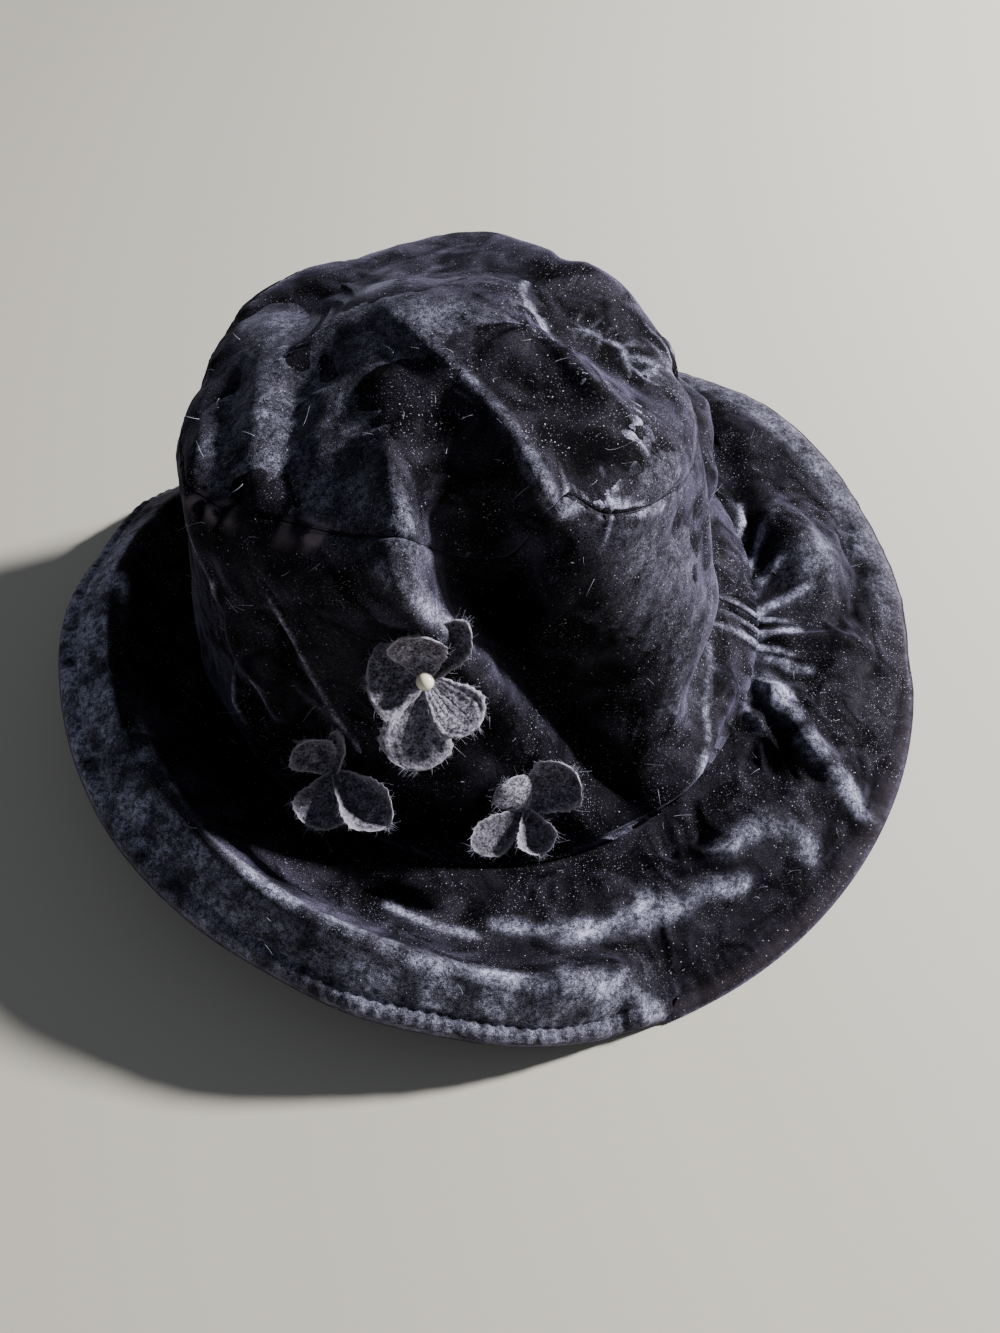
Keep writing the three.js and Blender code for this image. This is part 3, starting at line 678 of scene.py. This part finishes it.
def crown_radius(up):
    """A band that tapers to the shoulder, then a dome that closes at its middle."""
    on_band = tip_radius + (seam_radius - tip_radius) * np.clip(1 - up / band_up, 0, 1) ** band_hollow
    on_tip = np.cos(np.clip((up - band_up) / tip_up, 0, 1) * np.pi / 2) ** tip_round
    return np.where(up <= band_up, on_band, tip_radius * on_tip)


def smooth_crown(azimuth, up):
    """The crown without folds: crown_radius turned round an axis that leans to the left with the height."""
    foot = round_value(brim_sections, azimuth, SEAM_HEIGHT)
    on_tip = np.clip((up - band_up) / tip_up, 0, 1)
    wall = (band_top - foot) * np.minimum(up / band_up, 1)
    dome = tip_rise * np.sin(on_tip * np.pi / 2) ** tip_swell
    height = foot + wall + dome
    rise = np.maximum(height - foot, 0)
    sunk = seam_lean + lean_quick * (1 - np.exp(-((rise / lean_over) ** band_hollow))) + lean_even * rise
    drawn = on_tip ** 2.5
    return on_ring(azimuth, crown_radius(up), height, tip_middle[0] * drawn - sunk, tip_middle[1] * drawn)


def crown_surface(azimuth, up):
    """The crown's middle surface with its folds, which die out at the foot."""
    smooth = smooth_crown(azimuth, up)
    free = smooth_step(up, 0, 14)[..., None]
    return smooth + (folded(smooth, smooth_crown, crown_folds) - smooth) * free


# each gore seam as a path by azimuth and millimetres up the wall, how strongly it is puckered, and whether
# it shows on the tip only
gore_seams = [
    ([(-12, 120), (-12, 177)], 0.25, True),
    ([(44, 118), (57, 119), (72, 120), (90, 119)], 1.0, False),
    ([(90, 119), (102, 125), (111, 137), (120, 148), (150, 165), (170, 177)], 0.3, False),
    ([(108, 100), (100, 110), (90, 119)], 0.9, False),
    ([(168, 102), (168, 177)], 0.3, True),
    ([(228, 102), (228, 177)], 0.3, True),
    ([(288, 107), (288, 177)], 0.2, True),
]


def seam_relief(away, along, seed):
    """Across a seam: the stitches' groove with a swelling beside it, and the spikes of its puckers."""
    uneven = np.clip(0.4 + 0.6 * np.sin(along / 7.3 + seed) + 0.35 * np.sin(along / 2.9 + 2 * seed), 0, 1.3)
    bent = along + 1.2 * np.sin(along / 3.7 + seed) + 0.8 * np.sin(along / 1.7) + 0.25 * away
    ripple = 0.7 * np.cos(2 * np.pi * bent / 4.6 + seed) + 0.6 * np.cos(2 * np.pi * bent / 2.9 + 2 * seed)
    relief = -0.8 * np.exp(-(away / 0.7) ** 2) + 0.35 * np.exp(-((away - 2.6) / 1.8) ** 2)
    return relief, ripple * uneven * np.exp(-away / (1.6 + 3.2 * uneven))


def gore_seam_detail(number, path, strength, smooth):
    """The relief along one gore seam, and the painted highlights on its stitches and its puckers."""
    away, stretch = path_distance(smooth, smooth_crown, path)
    lengths = np.linalg.norm(np.diff(smooth_crown(*np.array(path, float).T), axis=0), axis=1)
    along = np.interp(stretch, np.arange(len(path)), np.concatenate([[0], np.cumsum(lengths)]))
    relief, pull = seam_relief(away, along, 3 + number)
    line = 0.75 * np.exp(-((away / 1.1) ** 2)) * np.clip(0.5 + 0.8 * np.sin(along / 4.1 + number), 0, 1)
    spikes = 0.8 * np.clip(1.4 * pull - 0.1, 0, 1)
    return 0.4 * relief + 0.35 * strength ** 2 * pull, strength * np.maximum(line, spikes)


def seam_detail(azimuth, up):
    """The relief along the tip's seams, how much they are worn, and their painted highlights."""
    from_tip_seam = up - seam_up(azimuth)
    arc = np.radians(azimuth) * np.maximum(crown_radius(up), 4)
    relief, pull = seam_relief(np.abs(from_tip_seam), arc, 1)
    at_left = between(azimuth, -75, -55, -20, -5)
    at_right = between(azimuth, 30, 44, 70, 90)
    in_pit = between(azimuth, -2, 8, 34, 40)
    detail = relief * (1 - 0.75 * in_pit) + (0.18 + 0.2 * at_left + 0.2 * at_right) * pull
    worn = np.exp(-((from_tip_seam + 2) / 3.5) ** 2) * np.clip(0.55 + 0.8 * np.sin(arc / 4.7 + 1), 0, 1)
    wear = 0.9 * at_left * worn
    # Painted highlights on the puckers at the right.
    painted_sheen = 0.9 * at_right * np.clip(1.6 * pull, 0, 1)
    smooth = smooth_crown(azimuth, up)
    below_middle = smooth_step(tip_up + band_up - up, 6, 16)
    for number, (path, strength, tip_only) in enumerate(gore_seams):
        relief, painted_light = gore_seam_detail(number, path, strength, smooth)
        shown = below_middle * smooth_step(from_tip_seam, 0, 1) if tip_only else below_middle
        detail += relief * shown
        painted_sheen = np.maximum(painted_sheen, painted_light * shown)
    return detail, wear, painted_sheen


# painted highlights and sheen: path by azimuth and millimetres up the wall, reach, how light
painted_crown_highlights = [
    ([(66, 132), (64, 141), (80, 148), (114, 152), (130, 157)], 2.0, 0.8),
    ([(-97, 158), (-64, 161), (-23, 160), (6, 155), (22, 147), (28, 140), (31, 133), (34, 122)], 1.2, 0.35),
    ([(-58, 155), (-44, 151)], 4, 0.35),
    ([(-68, 136), (-62, 130)], 4, 0.35),
    ([(-15, 135), (-6, 123), (-1, 107)], 1.2, 0.3),
    ([(-6, 112), (2, 98), (8, 84)], 1.8, 0.6),
    ([(92, 98), (84, 75), (77, 52), (72, 43), (66, 28)], 0.4, 0.35),
    ([(52, 14), (43, 10), (30, 6)], 1.2, 0.7),
    ([(76, 15), (66, 17), (58, 16), (52, 14)], 0.6, 0.35),
    ([(46, 116), (52, 107), (60, 96)], 1.5, 0.9),
    ([(98, 122), (96, 108), (92, 90), (84, 75)], 1.1, 0.6),
    ([(64, 124), (56, 120), (50, 116)], 1.6, 0.6),
    ([(57, 120), (72, 121), (88, 120)], 2.6, 0.9),
    ([(90, 120), (102, 126), (111, 138), (120, 149)], 0.9, 0.5),
    ([(44, 117), (39, 119), (35, 120)], 1.3, 0.6),
    ([(-64, 118), (-58, 92), (-46, 62), (-35, 42)], 0.7, 0.9),
    ([(-54, 122), (-46, 84), (-45, 40), (-41, 12)], 0.7, 0.9),
    ([(-36, 108), (-30, 82), (-20, 56), (-15, 40)], 0.7, 0.7),
    ([(140, 157), (150, 140), (156, 128)], 1.2, 0.4),
]

# painted shade: path by azimuth and millimetres up the wall, reach, how dark
painted_crown_shades = [
    ([(10, 112), (18, 96), (22, 76), (27, 54), (31, 32), (33, 12)], 13, 0.9),
    ([(104, 96), (98, 72), (92, 52), (88, 34)], 8, 0.8),
    ([(14, 123), (14, 112)], 9, 0.8),
    ([(44, 144), (44, 130)], 8, 0.3),
    ([(-36, 30), (-10, 20), (12, 12)], 16, 0.5),
]


def crown_painted_sheen(azimuth, up, smooth, seam_painted_sheen):
    """Painted sheen and highlights: on seams and strokes, and a little on dome and bulge."""
    crest_azimuth = -6 - 1.05 * (up - 123)
    left_of_crest = smooth_step(crest_azimuth - azimuth, -8, 6) * smooth_step(azimuth, -160, -110)
    dome = 0.2 * smooth_step(up, 108, 122) * left_of_crest
    bulge = 0.1 * between(azimuth, 34, 52, 84, 100) * between(up, 10, 30, 110, 124)
    strokes = strokes_over(smooth, smooth_crown, painted_crown_highlights)
    broken = np.clip(0.85 + 0.22 * waves(smooth, 16, 31) + 0.2 * waves(smooth, 6, 32), 0.35, 1.3)
    return np.maximum.reduce([seam_painted_sheen, strokes, dome, bulge]) * broken


def crown_skin(name, azimuth, outer_up, inner_up, join_ends):
    """A closed skin over part of the crown, from the rows of its outer face and of a second face.

    The second face's rows run the other way, so its normal points inwards: it lies close behind the outer
    face, and in front of it where the relief sinks.
    """
    up = np.concatenate([outer_up, inner_up])
    a = np.broadcast_to(azimuth, up.shape)
    is_outer = (np.arange(len(up)) < len(outer_up))[:, None]
    smooth = smooth_crown(a, up)
    middle = crown_surface(a, up)
    direction = 1 if outer_up[-1, 0] > outer_up[0, 0] else -1
    faces = middle[:len(outer_up)], middle[len(outer_up):]
    normal = np.concatenate([normals_of(face) for face in faces]) * direction
    detail, wear, seam_painted_sheen = seam_detail(a, up)
    pulled = gathers(a, up, 11)
    detail += creased(smooth, smooth_crown, crown_creases) + 0.8 * pulled
    detail += smooth_step(up, 2, 14) * (crumpled(smooth, 34, 21) * 0.3 + waves(smooth, 45, 24) * 0.5)
    # Painted highlights on the gathers' crests; below, painted sheen and highlights on the outer face.
    seam_painted_sheen = np.maximum(seam_painted_sheen, np.clip(pulled - 0.3, 0, 1))
    looks = {
        "wear": wear * np.clip(0.4 + 0.6 * waves(smooth, 5, 33), 0, 1),
        "painted_sheen": crown_painted_sheen(a, up, smooth, seam_painted_sheen) * is_outer,
        # Painted shade along the shade strokes.
        "painted_shade": strokes_over(smooth, smooth_crown, painted_crown_shades),
    }
    offset = np.where(is_outer, crown_cloth / 2 + detail, -crown_cloth / 2 + 0.6 * detail)
    return closed_skin(name, middle + normal * offset[..., None], join_ends, looks)


crown_azimuth = np.linspace(-180, 180, crown_columns, endpoint=False)
band_edge = seam_up(crown_azimuth) - seam_half_gap
band_outer = band_foot + (band_edge - band_foot) * np.linspace(0, 1, 122)[:, None]
band_inner = band_foot + (band_edge - band_foot) * np.linspace(1, 0, 28)[:, None]
band = crown_skin("side_band_cloth", crown_azimuth, band_outer, band_inner, True)
band.data.materials.append(velvet)
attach(band, "root")
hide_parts("side_band")

# Tip
# Six gores of velvet that meet off the middle of the top, sewn to the side band all round. Here they are
# one skin, with rows a little closer at its foot, and a small hole in the middle that a point closes.
tip_hole = 0.3
row_power = 0.9
tip_foot = seam_up(crown_azimuth) + seam_half_gap
tip_end = band_up + tip_up - tip_hole
tip_outer = tip_end + (tip_foot - tip_end) * np.linspace(0, 1, 112)[:, None] ** row_power
tip_inner = tip_foot + (tip_end - tip_foot) * np.linspace(0, 1, 28)[:, None]
tip = crown_skin("tip_cloth", crown_azimuth, tip_outer, tip_inner, False)
tip.data.materials.append(velvet)
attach(tip, "root")
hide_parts("tip_gore_front", "tip_gore_right_front", "tip_gore_right_back", "tip_gore_back",
            "tip_gore_left_back", "tip_gore_left_front")

# Violets
# Petals punched out of thin stiffened velvet, embossed with veins, their cut edges frayed. Each flower is
# gathered on a short stem and sewn to the front of the hat; a cream bead sits in the largest.
petal_cloth = 0.7
# A petal's half width at its root, and the shares of its length to its widest place and beyond it.
petal_root = 1.2
widest_at = 0.62
blunt_over = 0.385
petal_rows = 40
petal_columns = 25
stem_radius = 1.6
# The frayed hairs of a petal: how many, how thick, and the shortest and the longest.
fray_count = 90
fray_thick = 0.12
fray_length = (0.5, 2.0)
hair_rings = 5
hair_sides = 3
flower_gap = crown_cloth / 2 + 0.45

# flower: azimuth, millimetres up the wall, standoff of its heart, the way it faces, its petals
# petal: turn clockwise from the top, length, width, lift, curl, roll, cup, ribs, how light its painted sheen
# is
violets = {
    "violet_main": (2, 79, 4, (0, -0.6, 0.8), [
        (190, 23, 19, 2, 12, 0, 0.06, 5, 0.7),
        (134, 18, 15, 12, 12, 10, 0.10, 7, 0.8),
        (268, 15, 20, 8, 14, -8, 0.10, 5, 0.45),
        (350, 17, 15, 30, 30, 10, 0.15, 4, 0.6),
        (34, 20, 11, 14, 20, 0, 0.60, 0, 0.2),
    ]),
    "violet_right": (15, 25, 4, (0.08, -0.6, 0.8), [
        (244, 20, 12, 4, 16, 0, 0.50, 0, 0.3),
        (330, 14, 13, 40, -20, 0, -0.20, 0, 0.8),
        (50, 20, 18, 12, 20, 6, 0.35, 3, 0.3),
        (168, 14, 12, 10, 20, 0, 0.90, 2, 0.3),
    ]),
    "violet_left": (-20, 36, 4, (-0.06, -0.6, 0.8), [
        (318, 15, 15, 16, 30, 10, 0.35, 3, 0.3),
        (14, 18, 8, 30, 20, 40, 0.20, 2, 0.2),
        (196, 17, 16, 4, 20, 0, 0.45, 3, 0.25),
        (124, 23, 15, 10, 20, 10, 0.80, 2, 0.3),
    ]),
}


def unit(vector):
    """A vector's direction, with a length of 1."""
    vector = np.array(vector, float)
    return vector / np.linalg.norm(vector)


def flower_place(azimuth, up, standoff, facing):
    """Where a flower's stem starts, its heart, and its frame: right, up and outwards."""
    step = 0.2
    here = crown_surface(*np.array([[azimuth, azimuth + step, azimuth], [up, up, up + step]], float))
    wall = unit(np.cross(here[1] - here[0], here[2] - here[0]))
    foot = here[0] + wall * flower_gap
    outwards = unit(facing)
    right = unit(np.cross((0, 0, 1), outwards))
    return foot, foot + wall * standoff, np.stack([right, np.cross(outwards, right), outwards])


def petal_sheet(length, width, lift, curl, roll, cup, ribs, across, along):
    """A petal: an arc along it, an egg-shaped outline, cupped across it and embossed with ribs."""
    start = math.radians(lift)
    bend = math.radians(curl)
    arc = start + bend * along
    y = length / bend * (np.sin(arc) - math.sin(start))
    z = length / bend * (math.cos(start) - np.cos(arc))
    grown = np.clip(along / widest_at, 0, 1) ** 0.8
    blunt = np.sqrt(np.clip(1 - (np.clip(along - widest_at, 0, 1) / blunt_over) ** 2.2, 0, 1))
    half = (petal_root + (width / 2 - petal_root) * grown) * blunt
    ragged = 1 + 0.035 * np.sin(23 * along + 3 * np.sign(across)) + 0.03 * np.sin(61 * along + across)
    flat = across * half * ragged
    raised = cup * across ** 2 * half + 0.3 * np.cos(ribs * np.pi * across) * np.sin(np.pi * along)
    raised += 0.5 * np.sin(9 * along + 4 * across) * across ** 2 * along
    tilt = math.radians(roll)
    x = flat * math.cos(tilt) - raised * math.sin(tilt)
    above = flat * math.sin(tilt) + raised * math.cos(tilt)
    return np.stack([x, y - above * np.sin(arc), z + above * np.cos(arc)], -1)


def turned(points, turn, frame, heart):
    """Points of a petal turned clockwise in its flower and set at the flower's heart."""
    a = math.radians(turn)
    x = points[..., 0] * math.cos(a) + points[..., 1] * math.sin(a)
    y = -points[..., 0] * math.sin(a) + points[..., 1] * math.cos(a)
    return heart + x[..., None] * frame[0] + y[..., None] * frame[1] + points[..., 2:] * frame[2]


def joined(name, things):
    """Several meshes made one."""
    bpy.ops.object.select_all(action="DESELECT")
    for thing in things:
        thing.select_set(True)
    bpy.context.view_layer.objects.active = things[0]
    bpy.ops.object.join()
    things[0].name = name
    things[0].data.name = name
    things[0].select_set(False)
    return things[0]


def fibres(name, roots, ways, lengths, thickness, seed):
    """Fine curved hairs from each root: tapering three-sided tubes, in one mesh."""
    chance = np.random.default_rng(seed)
    steps = np.linspace(0, 1, hair_rings)
    bend = chance.normal(size=(len(roots), 3)) * 0.55
    side = np.cross(ways, chance.normal(size=ways.shape))
    side /= np.linalg.norm(side, axis=1, keepdims=True)
    other = np.cross(ways, side)
    along = steps[None, :, None]
    middle = roots[:, None] + lengths[:, None, None] * (ways[:, None] * along + bend[:, None] * along ** 2)
    angle = (np.arange(hair_sides) * 2 * np.pi / hair_sides)[None, :, None]
    ring = side[:, None, :] * np.cos(angle) + other[:, None, :] * np.sin(angle)
    radius = thickness / 2 * (1 - 0.7 * steps)
    points = middle[:, :, None] + ring[:, None] * radius[None, :, None, None]
    base = (np.arange(len(roots)) * hair_rings * hair_sides)[:, None]
    row, corner = np.meshgrid(np.arange(hair_rings - 1) * hair_sides, np.arange(hair_sides), indexing="ij")
    after = (corner + 1) % hair_sides
    next_row = row + hair_sides
    quads = np.stack([row + corner, row + after, next_row + after, next_row + corner], -1)
    faces = (base[..., None] + quads.reshape(1, -1, 4)).reshape(-1, 4).tolist()
    last_ring = (hair_rings - 1) * hair_sides + np.arange(hair_sides)
    faces += (base + np.arange(hair_sides)[::-1]).tolist() + (base + last_ring).tolist()
    mesh = bpy.data.meshes.new(name)
    mesh.from_pydata((points.reshape(-1, 3) * MM).tolist(), [], [tuple(f) for f in faces])
    return in_scene(name, mesh)


def build_frays(name, seed, roots, heart, chance):
    """Hairs that stand out round a petal's cut edge, mostly away from the flower's heart."""
    outwards = roots - heart + 0.001
    ways = outwards / np.linalg.norm(outwards, axis=1, keepdims=True) + chance.normal(size=roots.shape) * 0.6
    ways /= np.linalg.norm(ways, axis=1, keepdims=True)
    return fibres(name, roots, ways, chance.uniform(*fray_length, fray_count), fray_thick, seed)


def build_petal(name, turn, shape, painted_light, frame, heart):
    """One petal, a closed skin whose rows go round its front and back, and the frayed hairs of its edge."""
    across = np.sin(np.linspace(-np.pi / 2, np.pi / 2, petal_columns))
    across, along = np.meshgrid(across, np.linspace(0.0, 1.0, petal_rows))
    sheet = petal_sheet(*shape, across, along)
    normal = np.cross(np.gradient(sheet, axis=1), np.gradient(sheet, axis=0))
    normal /= np.maximum(np.linalg.norm(normal, axis=-1, keepdims=True), 1e-9)
    thin = petal_cloth / 2 * np.sqrt(np.clip(1.02 - np.abs(across) ** 6, 0, 1))[..., None]
    ring = np.concatenate([sheet + normal * thin, (sheet - normal * thin)[:, ::-1]], 1)
    edge = np.maximum(np.abs(across), smooth_step(along, 0.8, 1.0))
    rim = np.concatenate([edge, edge[:, ::-1]], 1) ** 10
    place = turned(ring, turn, frame, heart)
    # The petal's painted sheen is the same all over it.
    skin = closed_skin(name, place, False, {"wear": 0.8 * rim, "painted_sheen": np.full(rim.shape, painted_light)})
    chance = np.random.default_rng(int(turn) + len(name))
    row = chance.integers(12, petal_rows, fray_count)
    column = chance.choice([0, petal_columns - 1], fray_count)
    at_tip = chance.random(fray_count) < 0.35
    column = np.where(at_tip, chance.integers(1, petal_columns - 1, fray_count), column)
    row = np.where(at_tip, petal_rows - 1, row)
    roots = turned(sheet, turn, frame, heart)[row, column]
    return skin, build_frays(name + "_frays", int(turn), roots, heart, chance)


def build_stem(name, foot, heart, right):
    """A short round stem from the wall to the flower's heart."""
    along = np.linspace(0, 1, 6)[:, None, None]
    turn = np.linspace(0, 2 * np.pi, 16, endpoint=False)[None, :, None]
    side = unit(np.cross(heart - foot, right))
    other = unit(np.cross(heart - foot, side))
    ring = stem_radius * (side * np.cos(turn) + other * np.sin(turn))
    return closed_skin(name, foot + (heart - foot) * along + ring, False)


# The light colour is painted sheen and highlights.
petal_velvet = velvet_material(
    "petal_velvet", deep=(0.02, 0.018, 0.024), lit=(0.09, 0.085, 0.11), painted_light=(0.5, 0.46, 0.57),
    worn=(0.46, 0.42, 0.5), sheen=0.25, grain_scale=1700)
fray = new_material("fray", Base_Color=(0.3, 0.3, 0.38), Roughness=0.6)
flower_places = {name: flower_place(*violet[:4]) for name, violet in violets.items()}
for violet_name, (foot, heart, petal_frame) in flower_places.items():
    made = [
        build_petal(f"{violet_name}_{i}", turn, shape, painted_light, petal_frame, heart)
        for i, (turn, *shape, painted_light) in enumerate(violets[violet_name][-1])]
    stem = build_stem(violet_name + "_stem", foot, heart, petal_frame[0])
    violet = joined(violet_name + "_petals", [skin for skin, _ in made] + [stem])
    violet.data.materials.append(petal_velvet)
    frays = joined(violet_name + "_frays", [hairs for _, hairs in made])
    frays.data.materials.append(fray)
    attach(violet, "root")
    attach(frays, "root")
    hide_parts(violet_name)

# Bead
# A small cream pearl bead, sewn down through the heart of the largest flower.
bead_radius = 2.3
# From the flower's heart to the bead's underside.
bead_standoff = 2.7


def ball(name, middle, radius, columns=32):
    """A sphere by azimuth and height, its poles closed."""
    turns = np.linspace(0, 2 * np.pi, columns, endpoint=False)
    turn, height = np.meshgrid(turns, np.linspace(-1.5, 1.5, columns // 2))
    points = np.stack([np.cos(height) * np.cos(turn), np.cos(height) * np.sin(turn), np.sin(height)], -1)
    return closed_skin(name, middle + radius * points, False)


pearl = new_material("pearl", Base_Color=(0.92, 0.86, 0.68), Roughness=0.22, Coat_Weight=0.4)
_, main_heart, main_frame = flower_places["violet_main"]
bead = ball("bead_pearl", main_heart + main_frame[2] * (bead_standoff + bead_radius), bead_radius)
bead.data.materials.append(pearl)
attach(bead, "root")
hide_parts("bead")

# Lint
# Short curled hairs caught in the pile of the crown and the brim.
lint_count = 260
lint_thick = 0.2
lint_length = (1, 4)
crown_share = 0.6
# Off the middle of the cloth and out of its pile, towards the camera.
lint_lift = unit((0, -0.5, 0.86)) * 2.6
chance = np.random.default_rng(11)
on_crown = chance.random(lint_count) < crown_share
lint_azimuth = chance.uniform(-110, 110, lint_count)
crown_roots = crown_surface(lint_azimuth, chance.uniform(10, 165, lint_count))
brim_roots = brim_surface(chance.uniform(-150, 150, lint_count), chance.uniform(0.1, 0.95, lint_count))
lint_roots = np.where(on_crown[:, None], crown_roots, brim_roots) + lint_lift
lint_ways = chance.normal(size=(lint_count, 3)) * (1, 1, 0.3)
lint_ways /= np.linalg.norm(lint_ways, axis=1, keepdims=True)
lint = fibres("lint", lint_roots, lint_ways, chance.uniform(*lint_length, lint_count), lint_thick, 12)
lint.data.materials.append(fray)
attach(lint, "root")

# Floor
# A plain pale floor, and plain soft studio light from the right and a little behind, like the sun there.
floor_material = new_material("floor", Base_Color=(0.62, 0.58, 0.5), Roughness=0.9)
bpy.ops.mesh.primitive_plane_add(size=6)
floor = bpy.context.object
floor.name = "floor"
floor.data.materials.append(floor_material)

world = bpy.data.worlds.new("sky")
world.use_nodes = True
sky = world.node_tree.nodes["Background"]
sky.inputs["Color"].default_value = (0.8, 0.88, 1.0, 1)
sky.inputs["Strength"].default_value = 0.16
bpy.context.scene.world = world

key_way = Vector((-1, -0.28, -0.62)).normalized()
key_distance = 1.6
key = bpy.data.objects.new("key", bpy.data.lights.new("key", "AREA"))
key.data.shape = "DISK"
key.data.size = 0.16
key.data.energy = 74
key.location = -key_way * key_distance
key.rotation_euler = key_way.to_track_quat("-Z", "Y").to_euler()
bpy.context.scene.collection.objects.link(key)
